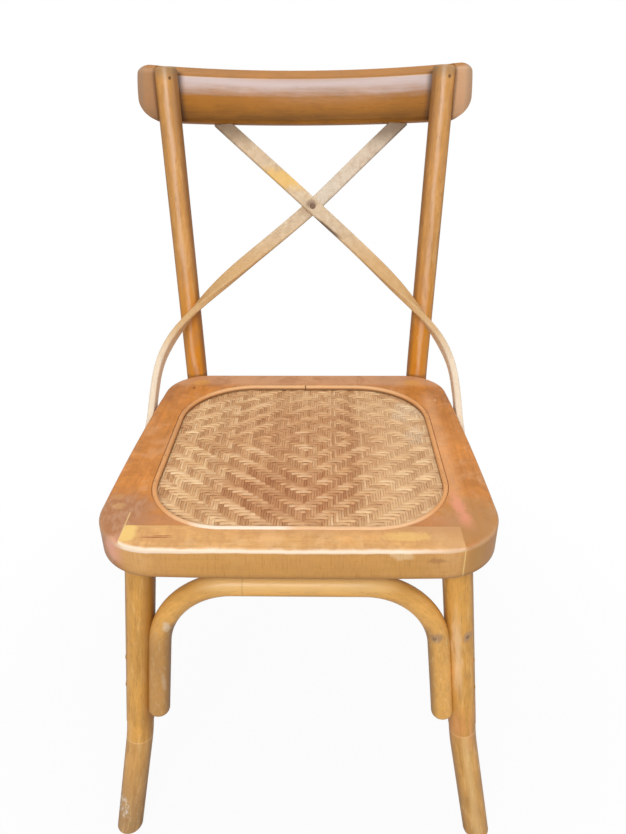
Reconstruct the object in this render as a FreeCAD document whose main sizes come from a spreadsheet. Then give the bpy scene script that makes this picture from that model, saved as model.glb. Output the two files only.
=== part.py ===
import FreeCAD, Part

import math
import os

from FreeCAD import Placement, Rotation, Vector

# Cross back chair in wood with a woven rattan seat, in millimetres.
# +Z is up, the sitter faces -Y, and the chair is symmetric about X = 0 apart from its cross straps.
# Left and right are as seen from the front, so left is -X.
# The origin is on the floor under the middle of the whole chair.

# Driving dimensions: alias, value in millimetres or degrees, what it sets
SIZES = [
    ("seat_height", 460.0, "top of the seat frame above the floor"),
    ("seat_thickness", 39.0, "thickness of the seat frame boards"),
    ("seat_centre_y", -67.3, "middle of the seat frame, ahead of the middle of the whole chair"),
    ("seat_depth", 414.0, "seat frame, front edge to rear edge"),
    ("seat_front_width", 434.0, "seat frame width at the front edge, before the corners are rounded"),
    ("seat_rear_width", 403.0, "seat frame width at the rear edge, before the corners are rounded"),
    ("seat_side_bow", 5.0, "how far the middle of each side bulges outwards"),
    ("seat_front_bow", 4.0, "how far the middle of the front edge bulges forwards"),
    ("seat_front_corner", 68.0, "radius of the front corners in plan"),
    ("seat_rear_corner", 58.0, "radius of the rear corners in plan"),
    ("seat_arris", 4.0, "rounding of the seat frame's outer arrises"),
    ("front_board_width", 46.0, "width of the front board at its ends"),
    ("front_board_length", 374.0, "length of the front board between the side boards"),
    ("rear_board_width", 41.0, "width of the rear board at its ends"),
    ("rear_board_length", 350.0, "length of the rear board between the side boards"),
    ("opening_width", 344.0, "width of the rebate that takes the seat panel"),
    ("opening_front_margin", 34.0, "front edge of the frame to the rebate"),
    ("opening_rear_margin", 37.0, "rear edge of the frame to the rebate"),
    ("opening_front_corner", 92.0, "radius of the rebate's front corners"),
    ("opening_rear_corner", 100.0, "radius of the rebate's rear corners"),
    ("ledge_width", 14.0, "width of the ledge that the seat panel rests on"),
    ("rebate_depth", 12.0, "depth of the rebate below the frame's top"),
    ("backing_thickness", 4.0, "plywood board under the weave"),
    ("weave_thickness", 3.0, "woven rattan sheet"),
    ("bead_width", 6.0, "bead round the weave, across"),
    ("bead_rise", 1.2, "bead above the frame's top"),
    ("bead_round", 2.6, "rounding of the bead's top edges"),
    ("bead_seam", 0.4, "butt seam in the bead at the rear"),
    ("lean", 11.35, "degrees the back leans from the vertical"),
    ("post_diameter", 31.0, "rear post and rear leg"),
    ("post_setback", 8.0, "post axis behind the seat's rear edge, at the seat's top"),
    ("post_spacing_seat", 341.0, "between the post axes at the seat"),
    ("post_spacing_top", 381.0, "between the post axes at their tops"),
    ("post_length", 428.0, "seat top to post top, up the leaning back"),
    ("post_bend_height", 440.0, "height of the bend between post and rear leg"),
    ("post_bend_radius", 250.0, "radius of that bend"),
    ("post_top_round", 4.0, "rounding of the post's top end"),
    ("rear_leg_rake", 9.3, "degrees the rear leg slants back"),
    ("rear_leg_splay", 3.2, "degrees the rear leg slants outwards"),
    ("rail_length", 452.0, "top rail, end to end"),
    ("rail_height", 72.0, "top rail, up the leaning back"),
    ("rail_above_post", 5.0, "rail's top edge above the posts' tops, up the leaning back"),
    ("rail_thickness", 22.0, "top rail, front to back"),
    ("rail_radius", 470.0, "radius of the rail's bowed front face"),
    ("rail_housing", 10.0, "depth that the posts are let into the rail"),
    ("rail_chamfer_drop", 10.0, "bevel on the rail's top front edge, down the face"),
    ("rail_chamfer_depth", 8.0, "bevel on the rail's top front edge, across the top"),
    ("rail_crown", 9.0, "corner of the rail's section ahead of its front face, before it is rounded"),
    ("rail_crown_radius", 92.0, "radius of the rail's crowned front face, up and down"),
    ("rail_round", 3.5, "rounding of the rail's long edges"),
    ("rail_bottom_round", 8.0, "rounding of the rail's bottom front edge"),
    ("rail_top_corner", 15.0, "radius of the rail's top end corners, seen from the front"),
    ("rail_bottom_corner", 27.0, "radius of the rail's bottom end corners"),
    ("strap_width", 20.0, "cross strap, across its flat"),
    ("strap_thickness", 9.3, "cross strap, through"),
    ("strap_round", 2.4, "rounding of the strap's edges"),
    ("strap_tenon", 7.0, "depth that a strap enters the rail's underside"),
    ("strap_socket_share", 0.154, "share of a strap's length that its mortise follows"),
    ("strap_rail_x", 127.4, "where a strap enters the rail, from the middle"),
    ("strap_rail_shift", 7.0, "both entries into the rail, to the right of their even places"),
    ("strap_cross_shift", 10.5, "crossing to the right of the middle"),
    ("strap_cross_rise", 247.0, "seat top to the crossing, up the leaning back"),
    ("strap_cross_back", 15.0, "crossing behind the plane of the post axes"),
    ("strap_cross_gap", 1.1, "between the straps' centres of width at the crossing"),
    ("strap_post_rise", 88.9, "seat top to where a strap passes a post"),
    ("strap_post_gap", 7.8, "strap's rear edge ahead of the post, where their axes cross in the front view"),
    ("strap_end_reach", 138.0, "strap's lower end ahead of the seat's rear edge"),
    ("strap_end_drop", 29.0, "strap's lower end below the seat's top"),
    ("strap_hip_out", 0.5, "bulge of a strap beside the seat, outwards from its lower end"),
    ("strap_hip_back", 45.5, "that bulge behind the lower end"),
    ("strap_hip_rise", 27.5, "that bulge above the lower end"),
    ("strap_shoulder_in", 7.7, "where a strap is edge on, inwards from its lower end"),
    ("strap_shoulder_back", 80.5, "that place behind the lower end"),
    ("strap_shoulder_rise", 75.5, "that place above the lower end"),
    ("strap_turn_start", 0.3, "share of the way from crossing to shoulder where a strap starts to turn"),
    ("strap_turn_end", 0.95, "share of that way where it is edge on"),
    ("leg_top_diameter", 33.5, "front leg at the seat"),
    ("leg_splice_diameter", 33.0, "front leg just above the splice"),
    ("leg_foot_diameter", 32.0, "foot length of the front leg"),
    ("leg_inset_x", 45.0, "front leg axis in from the frame's front corner, sideways"),
    ("leg_inset_y", 42.0, "front leg axis behind the frame's front edge"),
    ("leg_splay", 5.8, "degrees the front leg slants outwards"),
    ("leg_rake", 6.8, "degrees the front leg slants forwards"),
    ("foot_splay", 10.5, "degrees the foot length slants outwards"),
    ("leg_splice_height", 186.0, "height of the splice in the front leg"),
    ("leg_knee_height", 165.0, "height of the bend below the splice"),
    ("leg_knee_radius", 420.0, "radius of that bend"),
    ("tenon_diameter", 22.0, "round tenon on top of the front leg"),
    ("tenon_length", 26.0, "length of that tenon"),
    ("splice_dowel_diameter", 12.0, "dowel in the leg splice"),
    ("splice_dowel_length", 44.0, "dowel in the leg splice"),
    ("arch_diameter", 25.5, "bent rods under the seat"),
    ("arch_height", 388.0, "height of the arches' crosspieces"),
    ("arch_end_height", 204.5, "height of the arches' lower ends"),
    ("arch_radius", 86.0, "radius of the arches' shoulders"),
    ("arch_seating", 4.6, "depth that an arch is coped round a leg"),
    ("arch_forward", 8.5, "front arch ahead of the front leg axes"),
    ("side_arch_out", 6.0, "side arches outside the line between the leg axes"),
    ("arch_end_round", 9.0, "rounding of the arches' lower ends"),
    ("arch_seam_x", -60.0, "glued seam in the front arch"),
    ("arch_dowel_diameter", 9.0, "dowel in that seam"),
    ("arch_dowel_length", 40.0, "dowel in that seam"),
    ("corner_dowel_diameter", 8.0, "dowels between the seat boards"),
    ("corner_dowel_length", 20.0, "dowels between the seat boards"),
    ("corner_dowel_inset", 29.0, "dowels between the seat boards, in from the front and rear edges"),
    ("corner_dowel_spacing", 20.0, "between the two dowels of a corner"),
    ("screw_diameter", 4.0, "shank of the wood screws"),
    ("screw_head_diameter", 8.0, "countersunk head of the wood screws"),
    ("screw_head_height", 3.2, "countersunk head of the wood screws"),
    ("screw_sink", 1.0, "screw heads below the surface"),
    ("leg_screw_length", 46.0, "screws through a leg into an arch"),
    ("arch_screw_length", 34.0, "screws through an arch into a leg"),
    ("arch_screw_rise", 40.0, "leg screws above the arches' lower ends, and between them"),
    ("side_screw_rise", 60.0, "side arch screws above the arches' lower ends"),
    ("strap_screw_back", 6.7, "those screws behind the straps' lower ends"),
    ("strap_screw_up", 5.0, "those screws above the straps' lower ends"),
    ("strap_screw_length", 24.0, "screws at the straps' lower ends"),
    ("cross_screw_length", 13.0, "screw where the straps cross"),
    ("rail_screw_length", 27.0, "screws through the rail into the posts"),
    ("backing_screw_length", 15.0, "screws through the ledge into the backing board"),
    ("bolt_diameter", 6.0, "bolts through the posts into the seat"),
    ("bolt_length", 52.0, "bolt shank"),
    ("bolt_head_diameter", 11.0, "bolt head"),
    ("bolt_head_height", 5.0, "bolt head"),
    ("plug_diameter", 12.0, "wooden plugs over sunk heads"),
    ("plug_length", 4.5, "wooden plugs over sunk heads"),
    ("glide_diameter", 22.0, "nail-on glide under each foot"),
    ("glide_height", 4.0, "nail-on glide under each foot"),
    ("glide_nail_diameter", 3.0, "nail of the glide"),
    ("glide_nail_length", 16.0, "nail of the glide"),
    ("seat_gap", 0.3, "named clearance between pieces that seat on each other"),
    ("cut_margin", 1.0, "how far a cutting shape passes the face that it opens"),
    ("hole_gap", 0.15, "radial clearance of dowels and screws in their holes"),
]

doc = FreeCAD.newDocument("CrossBackChair")
sheet = doc.addObject("Spreadsheet::Sheet", "Sizes")
for row, (alias, value, meaning) in enumerate(SIZES, start=1):
    sheet.set(f"A{row}", meaning)
    sheet.set(f"B{row}", str(value))
    sheet.setAlias(f"B{row}", alias)
doc.recompute()

SIDES = (("left", -1), ("right", 1))
UP = Vector(0, 0, 1)
FAR = 1500.0
SHARP = (0, 0, 0, 0)


def size(alias):
    """A driving dimension, read from the sheet."""
    return float(sheet.get(alias))


def tangent(alias):
    """The tangent of an angle in the sheet."""
    return math.tan(math.radians(size(alias)))


# Places worked out from the driving dimensions

seat_front_y = size("seat_centre_y") - size("seat_depth") / 2
seat_rear_y = size("seat_centre_y") + size("seat_depth") / 2
seat_bottom_z = size("seat_height") - size("seat_thickness")
post_radius = size("post_diameter") / 2
arch_radius = size("arch_diameter") / 2
rail_bottom = size("post_length") + size("rail_above_post") - size("rail_height")
back_frame = Placement(
    Vector(0, seat_rear_y + size("post_setback"), size("seat_height")),
    Rotation(Vector(1, 0, 0), -size("lean")),
)


def on_back(x, back, rise):
    """A point given sideways, behind the plane of the post axes, and up the leaning back."""
    return back_frame.multVec(Vector(x, back, rise))


def seat_side_x(y):
    """Half the seat frame's width at a depth y, along the bowed side."""
    half_front = size("seat_front_width") / 2
    half_rear = size("seat_rear_width") / 2
    start = Vector(half_front, seat_front_y, 0)
    end = Vector(half_rear, seat_rear_y, 0)
    middle = Vector((half_front + half_rear) / 2 + size("seat_side_bow"), size("seat_centre_y"), 0)
    circle = Part.Circle(start, middle, end)
    offset = y - circle.Center.y
    return circle.Center.x + math.sqrt(circle.Radius ** 2 - offset ** 2)


def front_leg_axis(side, z):
    """A point on a front leg's axis, which turns outwards at the knee."""
    upper_end = max(z, size("leg_knee_height"))
    x = size("seat_front_width") / 2 - size("leg_inset_x")
    x += (seat_bottom_z - upper_end) * tangent("leg_splay")
    x += (upper_end - z) * tangent("foot_splay")
    y = seat_front_y + size("leg_inset_y") - (seat_bottom_z - z) * tangent("leg_rake")
    return Vector(side * x, y, z)


def post_axis(side, rise):
    """A point on a post's axis above the seat."""
    spread = (size("post_spacing_top") - size("post_spacing_seat")) / 2
    x = size("post_spacing_seat") / 2 + spread * rise / size("post_length")
    return on_back(side * x, 0, rise)


def post_bend(side):
    """Where the axes of post and rear leg meet."""
    top = post_axis(side, size("post_length"))
    base = post_axis(side, 0)
    share = (base.z - size("post_bend_height")) / (top.z - base.z)
    return base + (base - top) * share


def rear_leg_axis(side, z):
    """A point on a rear leg's axis below the seat."""
    bend = post_bend(side)
    drop = bend.z - z
    return bend + Vector(side * drop * tangent("rear_leg_splay"), drop * tangent("rear_leg_rake"), -drop)


# Helpers for sketches and bodies


def new_body(name):
    return doc.addObject("PartDesign::Body", name)


def new_sketch(body, name, plane, geometry, height=None):
    """A sketch on one of the body's own planes, with its outline closed by coincident ends."""
    sketch = body.newObject("Sketcher::SketchObject", name)
    support = [item for item in body.Origin.OriginFeatures if item.Role == plane][0]
    sketch.AttachmentSupport = [(support, "")]
    sketch.MapMode = "FlatFace"
    if height:
        sketch.setExpression("AttachmentOffset.Base.z", height)
    sketch.addGeometry(geometry, False)
    return sketch


def rounded_polygon(points, radii):
    """Lines and arcs round a polygon in the sketch's plane, each corner with its own radius."""
    count = len(points)
    corners = []
    for index in range(count):
        here = Vector(*points[index], 0)
        before = Vector(*points[index - 1], 0) - here
        after = Vector(*points[(index + 1) % count], 0) - here
        before.normalize()
        after.normalize()
        half_angle = before.getAngle(after) / 2
        reach = radii[index] / math.tan(half_angle)
        bisector = before + after
        bisector.normalize()
        tip = here + bisector * (radii[index] / math.sin(half_angle) - radii[index])
        corners.append((here + before * reach, tip, here + after * reach))
    edges = []
    for index in range(count):
        start, tip, end = corners[index]
        if radii[index] > 0:
            edges.append(Part.Arc(start, tip, end))
        following = corners[(index + 1) % count][0]
        if end.distanceToPoint(following) > 1e-6:
            edges.append(Part.LineSegment(end, following))
    return edges


def pad(body, name, sketch, length):
    feature = body.newObject("PartDesign::Pad", name)
    feature.Profile = sketch
    feature.setExpression("Length", length)
    return feature


def pocket_through(body, name, sketch):
    """Cut a sketch right through the body, both ways."""
    feature = body.newObject("PartDesign::Pocket", name)
    feature.Profile = sketch
    feature.Type = "ThroughAll"
    feature.Midplane = True
    return feature


def fillet(body, name, base, wanted, radius):
    """Round the edges of a feature that a test picks."""
    doc.recompute()
    names = [f"Edge{index}" for index, edge in enumerate(base.Shape.Edges, start=1) if wanted(edge)]
    feature = body.newObject("PartDesign::Fillet", name)
    feature.Base = (base, names)
    feature.setExpression("Radius", radius)
    return feature


def is_upright(edge):
    """Whether an edge runs along the body's own Z axis."""
    box = edge.BoundBox
    return box.XLength < 1e-6 and box.YLength < 1e-6


def lies_at(edge, height):
    """Whether an edge lies in a plane at a height."""
    return abs(edge.BoundBox.ZMin - height) < 1e-6 and abs(edge.BoundBox.ZMax - height) < 1e-6


# Helpers for primitives, rods and cuts


def along(start, direction):
    """A placement at a start, with its own Z axis along a direction."""
    return Placement(start, Rotation(UP, direction))


def cylinder(name, start, direction, radius, height):
    """A cylinder whose radius and height are expressions on the sheet."""
    item = doc.addObject("Part::Cylinder", name)
    item.setExpression("Radius", radius)
    item.setExpression("Height", height)
    item.Placement = along(start, direction)
    return item


def block(name, low, high):
    """A box between two corners, for trimming."""
    item = doc.addObject("Part::Box", name)
    item.Length, item.Width, item.Height = high.x - low.x, high.y - low.y, high.z - low.z
    item.Placement = Placement(low, Rotation())
    return item


def cut(name, base, tools):
    """Base less each of the tools in turn."""
    for index, tool in enumerate(tools, start=1):
        item = doc.addObject("Part::Cut", name if index == len(tools) else f"{name}_cut_{index}")
        item.Base = base
        item.Tool = tool
        base = item
    return item


def common(name, base, tool):
    item = doc.addObject("Part::Common", name)
    item.Base = base
    item.Tool = tool
    return item


def tangent_path(points, radius):
    """Straight runs through the points, joined by arcs of one radius."""
    edges = []
    start = points[0]
    for before, corner, after in zip(points, points[1:], points[2:]):
        back = (before - corner).normalize()
        ahead = (after - corner).normalize()
        half_angle = back.getAngle(ahead) / 2
        reach = radius / math.tan(half_angle)
        bisector = (back + ahead).normalize()
        tip = corner + bisector * (radius / math.sin(half_angle) - radius)
        arc_start = corner + back * reach
        edges.append(Part.LineSegment(start, arc_start).toShape())
        edges.append(Part.Arc(arc_start, tip, corner + ahead * reach).toShape())
        start = corner + ahead * reach
    edges.append(Part.LineSegment(start, points[-1]).toShape())
    return Part.Wire(edges)


def rod(name, points, bend_radius, radius_expression):
    """A round rod swept along a path of straight runs and arcs."""
    spine = doc.addObject("Part::Feature", f"{name}_spine")
    spine.Shape = tangent_path(points, bend_radius)
    section = doc.addObject("Part::Circle", f"{name}_section")
    section.setExpression("Radius", radius_expression)
    section.Placement = along(points[0], points[1] - points[0])
    item = doc.addObject("Part::Sweep", name)
    item.Sections = [section]
    item.Spine = (spine, [f"Edge{index + 1}" for index in range(len(spine.Shape.Edges))])
    item.Solid = True
    return item


def round_ends(name, base, radius, wanted):
    """Round the rims of a rod's flat ends that a test picks."""
    doc.recompute()
    rims = [
        index for index, edge in enumerate(base.Shape.Edges, start=1)
        if isinstance(edge.Curve, Part.Circle) and edge.isClosed() and wanted(edge)
    ]
    item = doc.addObject("Part::Fillet", name)
    item.Base = base
    item.Edges = [(index, radius, radius) for index in rims]
    return item


def group(name, solids):
    """One node that holds several separate solids."""
    item = doc.addObject("Part::Feature", name)
    item.Shape = Part.makeCompound(solids)
    return item


# Helpers for fasteners


def turned(name, profile):
    """A body turned about its own Z axis from a profile of radius and height."""
    body = new_body(name)
    corners = [Vector(radius, height, 0) for radius, height in dict.fromkeys(profile)]
    lines = [Part.LineSegment(a, b) for a, b in zip(corners, corners[1:] + corners[:1])]
    sketch = new_sketch(body, f"{name}_profile", "XZ_Plane", lines)
    feature = body.newObject("PartDesign::Revolution", f"{name}_turned")
    feature.Profile = sketch
    feature.ReferenceAxis = (sketch, ["V_Axis"])
    feature.Angle = 360
    return body


def screw_profile(length, extra, mouth):
    """A countersunk screw pointing up its axis, larger all round by extra, with a mouth below it."""
    shank = size("screw_diameter") / 2 + extra
    head = size("screw_head_diameter") / 2 + extra
    height = size("screw_head_height")
    tip = length + extra
    return [(0, -mouth), (head, -mouth), (head, 0), (shank, height), (shank, tip), (0, tip)]


def bolt_profile(extra, mouth):
    """A bolt with a round head, pointing up its axis from the top of its head."""
    shank = size("bolt_diameter") / 2 + extra
    head = size("bolt_head_diameter") / 2 + extra
    neck = size("bolt_head_height")
    tip = neck + size("bolt_length") + extra
    return [(0, -mouth), (head, -mouth), (head, neck), (shank, neck), (shank, tip), (0, tip)]


def placed_copies(shape, places):
    """Copies of a shape, one at each start and direction."""
    copies = []
    for start, direction in places:
        solid = shape.copy()
        solid.Placement = along(start, direction).multiply(solid.Placement)
        copies.append(solid.Solids[0])
    return copies


def screws(name, alias, places):
    """A node of like screws, and the holes that take them."""
    doc.recompute()
    length = size(alias)
    body = turned(f"{name}_pattern", screw_profile(length, 0, 0))
    hole = turned(f"{name}_hole", screw_profile(length, size("hole_gap"), 3 * size("screw_sink")))
    doc.recompute()
    holes = group(f"{name}_holes", placed_copies(hole.Shape, places))
    return group(name, placed_copies(body.Shape, places)), holes


def dowels(name, diameter_alias, length_alias, places):
    """A node of like dowels centred on their places, and the holes that take them."""
    length = size(length_alias)
    radius = size(diameter_alias) / 2
    chamfer = radius / 5
    gap = size("hole_gap")
    profile = [(0, 0), (radius - chamfer, 0), (radius, chamfer), (radius, length - chamfer)]
    profile += [(radius - chamfer, length), (0, length)]
    bore = radius + gap
    body = turned(f"{name}_pattern", profile)
    hole = turned(f"{name}_hole", [(0, -gap), (bore, -gap), (bore, length + gap), (0, length + gap)])
    doc.recompute()
    starts = []
    for centre, direction in places:
        starts.append((centre - Vector(direction).normalize() * length / 2, direction))
    holes = group(f"{name}_holes", placed_copies(hole.Shape, starts))
    return group(name, placed_copies(body.Shape, starts)), holes


# Seat frame: one shaped blank, from which the four boards are taken


def opening_outline(inset):
    """The rebate's outline in plan about the seat's centre, drawn in by an inset."""
    half = size("opening_width") / 2 - inset
    front = -size("seat_depth") / 2 + size("opening_front_margin") + inset
    rear = size("seat_depth") / 2 - size("opening_rear_margin") - inset
    front_radius = size("opening_front_corner") - inset
    rear_radius = size("opening_rear_corner") - inset
    points = [(-half, front), (half, front), (half, rear), (-half, rear)]
    return rounded_polygon(points, [front_radius, front_radius, rear_radius, rear_radius])


def seat_outline(grow):
    """The frame's outline about the seat's centre, grown outwards, with sharp corners and bowed sides."""
    front, rear = -size("seat_depth") / 2 - grow, size("seat_depth") / 2 + grow
    half_front, half_rear = size("seat_front_width") / 2 + grow, size("seat_rear_width") / 2 + grow
    shoulder = front + size("seat_front_bow")
    side_middle = (half_front + half_rear) / 2 + size("seat_side_bow")
    return [
        Part.Arc(Vector(-half_front, shoulder, 0), Vector(0, front, 0), Vector(half_front, shoulder, 0)),
        Part.Arc(Vector(half_front, shoulder, 0), Vector(side_middle, 0, 0), Vector(half_rear, rear, 0)),
        Part.LineSegment(Vector(half_rear, rear, 0), Vector(-half_rear, rear, 0)),
        Part.Arc(Vector(-half_rear, rear, 0), Vector(-side_middle, 0, 0), Vector(-half_front, shoulder, 0)),
    ]


def seat_slab(body, grow, height):
    """The seat frame's plan as a slab with rounded corners, grown outwards."""
    name = body.Name
    outline = new_sketch(body, f"{name}_outline", "XY_Plane", seat_outline(grow))
    slab = pad(body, f"{name}_slab", outline, height)
    front_corners = fillet(
        body, f"{name}_front_corners", slab,
        lambda edge: is_upright(edge) and edge.CenterOfMass.y < 0, "Sizes.seat_front_corner",
    )
    corner_x = size("seat_rear_width") / 2 + grow
    return fillet(
        body, f"{name}_rear_corners", front_corners,
        lambda edge: is_upright(edge) and edge.CenterOfMass.y > size("seat_depth") / 4
        and abs(abs(edge.CenterOfMass.x) - corner_x) < 1e-6, "Sizes.seat_rear_corner",
    )


def build_seat_space():
    """The seat frame's space with clearance, well above and below it, that the posts are cut to."""
    body = new_body("seat_space")
    seat_slab(body, size("seat_gap"), "Sizes.seat_thickness + 4 * Sizes.post_diameter")
    low = seat_bottom_z - 2 * size("post_diameter")
    body.Placement = Placement(Vector(0, size("seat_centre_y"), low), Rotation())
    return body


def build_seat_blank():
    body = new_body("seat_blank")
    rear_corners = seat_slab(body, 0, "Sizes.seat_thickness")
    arrises = fillet(
        body, "seat_blank_arrises", rear_corners,
        lambda edge: lies_at(edge, 0) or lies_at(edge, size("seat_thickness")), "Sizes.seat_arris",
    )
    arrises.Refine = True
    through = new_sketch(body, "seat_blank_opening", "XY_Plane", opening_outline(size("ledge_width")))
    pocket_through(body, "seat_blank_opening_cut", through)
    floor = "Sizes.seat_thickness - Sizes.rebate_depth"
    rebate = new_sketch(body, "seat_blank_rebate", "XY_Plane", opening_outline(0), floor)
    step = body.newObject("PartDesign::Pocket", "seat_blank_rebate_cut")
    step.Profile = rebate
    step.Reversed = True
    step.setExpression("Length", "Sizes.rebate_depth + Sizes.cut_margin")
    body.Placement = Placement(Vector(0, size("seat_centre_y"), seat_bottom_z), Rotation())
    return body


def build_seat_boards(blank, holes):
    """Front and rear boards between two wide side boards that carry the corners."""
    front_half = size("front_board_length") / 2
    rear_half = size("rear_board_length") / 2
    front_region = block(
        "front_board_region", Vector(-front_half, -FAR, 0),
        Vector(front_half, seat_front_y + size("front_board_width"), FAR),
    )
    rear_region = block(
        "rear_board_region", Vector(-rear_half, seat_rear_y - size("rear_board_width"), 0),
        Vector(rear_half, FAR, FAR),
    )
    boards = {
        "seat_front_rail": common("front_board_blank", blank, front_region),
        "seat_rear_rail": common("rear_board_blank", blank, rear_region),
    }
    for name, side in SIDES:
        low, high = sorted((0, -side * FAR))
        other = block(f"beside_{name}_board", Vector(low, -FAR, 0), Vector(high, FAR, FAR))
        regions = [front_region, rear_region, other]
        boards[f"seat_side_rail_{name}"] = cut(f"{name}_board_blank", blank, regions)
    return [cut(name, base, holes[name]) for name, base in boards.items()]


def build_backing():
    """Plywood board that lies on the ledge."""
    body = new_body("seat_backing_blank")
    outline = new_sketch(body, "seat_backing_outline", "XY_Plane", opening_outline(size("seat_gap") * 2))
    pad(body, "seat_backing_slab", outline, "Sizes.backing_thickness")
    height = size("seat_height") - size("rebate_depth")
    body.Placement = Placement(Vector(0, size("seat_centre_y"), height), Rotation())
    return body


def build_weave():
    """Woven rattan sheet on the backing board, its edge under the bead."""
    body = new_body("rattan_seat_panel")
    edge = opening_outline(size("seat_gap") * 2)
    outline = new_sketch(body, "rattan_seat_panel_outline", "XY_Plane", edge)
    pad(body, "rattan_seat_panel_sheet", outline, "Sizes.weave_thickness")
    height = size("seat_height") - size("rebate_depth") + size("backing_thickness")
    body.Placement = Placement(Vector(0, size("seat_centre_y"), height), Rotation())
    return body


def build_bead():
    """Bead round the weave, one bent strip whose ends meet at the middle of the rear."""
    body = new_body("seat_bead")
    outer = opening_outline(size("seat_gap"))
    inner = opening_outline(size("seat_gap") + size("bead_width"))
    ring = new_sketch(body, "seat_bead_ring", "XY_Plane", outer + inner)
    rise = "Sizes.rebate_depth - Sizes.backing_thickness - Sizes.weave_thickness + Sizes.bead_rise"
    strip = pad(body, "seat_bead_strip", ring, rise)
    top = size("rebate_depth") - size("backing_thickness") - size("weave_thickness") + size("bead_rise")
    fillet(body, "seat_bead_round", strip, lambda edge: lies_at(edge, top), "Sizes.bead_round")
    half_seam = size("bead_seam") / 2
    rear = size("seat_depth") / 2
    corners = [(-half_seam, 0), (half_seam, 0), (half_seam, rear), (-half_seam, rear)]
    slit = rounded_polygon(corners, SHARP)
    pocket_through(body, "seat_bead_seam", new_sketch(body, "seat_bead_slit", "XY_Plane", slit))
    height = size("seat_height") + size("bead_rise") - top
    body.Placement = Placement(Vector(0, size("seat_centre_y"), height), Rotation())
    return body


# Top rail: a bowed board with a bevelled top edge and rounded end corners

post_x_at_rail = post_axis(1, rail_bottom + size("rail_height") / 2).x
rail_face_behind_post = post_radius - size("rail_housing")
rail_axis_back = -math.sqrt((size("rail_radius") - rail_face_behind_post) ** 2 - post_x_at_rail ** 2)
rail_middle_rise = rail_bottom + size("rail_height") / 2


def build_rail_blank():
    body = new_body("top_rail_blank")
    front = size("rail_radius")
    rear = front + size("rail_thickness")
    low = rail_bottom
    high = low + size("rail_height")
    bevel = high - size("rail_chamfer_drop")
    section = rounded_polygon(
        [
            (front, low), (rear, low), (rear, high), (front + size("rail_chamfer_depth"), high),
            (front, bevel), (front - size("rail_crown"), (low + bevel) / 2),
        ],
        [
            size("rail_bottom_round"), size("rail_round"), size("rail_round"), size("rail_round") / 2,
            size("rail_round") / 2, size("rail_crown_radius"),
        ],
    )
    profile = new_sketch(body, "top_rail_section", "YZ_Plane", section)
    bow = body.newObject("PartDesign::Revolution", "top_rail_bow")
    bow.Profile = profile
    bow.ReferenceAxis = (profile, ["V_Axis"])
    bow.Midplane = True
    bow.Angle = 2 * math.degrees(math.asin((size("rail_length") / 2 + size("rail_thickness")) / front))
    half = size("rail_length") / 2
    top_corner, bottom_corner = size("rail_top_corner"), size("rail_bottom_corner")
    outline = rounded_polygon(
        [(-half, low), (half, low), (half, high), (-half, high)],
        [bottom_corner, bottom_corner, top_corner, top_corner],
    )
    around = rounded_polygon([(-FAR, -FAR), (FAR, -FAR), (FAR, FAR), (-FAR, FAR)], SHARP)
    trim = new_sketch(body, "top_rail_outline", "XZ_Plane", outline + around)
    pocket_through(body, "top_rail_ends", trim)
    body.Placement = back_frame.multiply(Placement(Vector(0, rail_axis_back, 0), Rotation()))
    return body


# Cross straps: flat bands that twist by a quarter turn on their way to the seat's sides

STRAP_SECTIONS = 26


def strap_points(side, lift):
    """Places on a strap's centre line, by name. Lift sets the strap ahead at the crossing."""
    crossing = Vector(size("strap_cross_shift"), size("strap_cross_back") - lift, size("strap_cross_rise"))
    middle_radius = size("rail_radius") + size("rail_thickness") / 2
    entry_x = size("strap_rail_shift") - side * size("strap_rail_x")
    entry = Vector(entry_x, rail_axis_back + math.sqrt(middle_radius ** 2 - entry_x ** 2), rail_bottom)
    run = (entry - crossing).normalize()
    post_stand = post_radius + size("strap_post_gap") + size("strap_width") / 2
    ahead = on_back(0, -post_stand, 0) - on_back(0, 0, 0)
    end_y = seat_rear_y - size("strap_end_reach")
    end_x = seat_side_x(end_y) + size("seat_gap") + size("strap_thickness") / 2
    end = Vector(side * end_x, end_y, size("seat_height") - size("strap_end_drop"))
    hip = Vector(side * size("strap_hip_out"), size("strap_hip_back"), size("strap_hip_rise"))
    shoulder = Vector(
        -side * size("strap_shoulder_in"), size("strap_shoulder_back"), size("strap_shoulder_rise")
    )
    return {
        "tip": on_back(*(entry + run * size("strap_tenon"))),
        "upper": on_back(*((entry + crossing) / 2)),
        "crossing": on_back(*crossing),
        "passing": post_axis(side, size("strap_post_rise")) + ahead,
        "shoulder": end + shoulder,
        "hip": end + hip,
        "end": end,
    }


def strap_facing(direction, side, turn):
    """Which way a strap's flat faces, turned about its own line from ahead to outwards."""
    flat = direction.cross(Vector(1, 0, 0)).normalize()
    outwards = direction.cross(flat).normalize()
    if outwards.x * side < 0:
        outwards = outwards * -1
    return flat * math.cos(turn) + outwards * math.sin(turn)


def strap_section(centre, along_strap, through, extra):
    """A rounded rectangle across the strap, its flat facing one way."""
    across = along_strap.cross(through)
    half_width = size("strap_width") / 2 + extra
    half_thickness = size("strap_thickness") / 2 + extra
    corners = [(-half_width, -half_thickness), (half_width, -half_thickness)]
    corners += [(half_width, half_thickness), (-half_width, half_thickness)]
    edges = [edge.toShape() for edge in rounded_polygon(corners, [size("strap_round")] * 4)]
    wire = Part.Wire(edges)
    frame = FreeCAD.Matrix()
    frame.A11, frame.A21, frame.A31 = across.x, across.y, across.z
    frame.A12, frame.A22, frame.A32 = through.x, through.y, through.z
    frame.A13, frame.A23, frame.A33 = along_strap.x, along_strap.y, along_strap.z
    frame.A14, frame.A24, frame.A34 = centre.x, centre.y, centre.z
    wire.Placement = Placement(frame)
    return wire


def smooth_step(value):
    value = min(max(value, 0.0), 1.0)
    return value * value * (3 - 2 * value)


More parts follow.
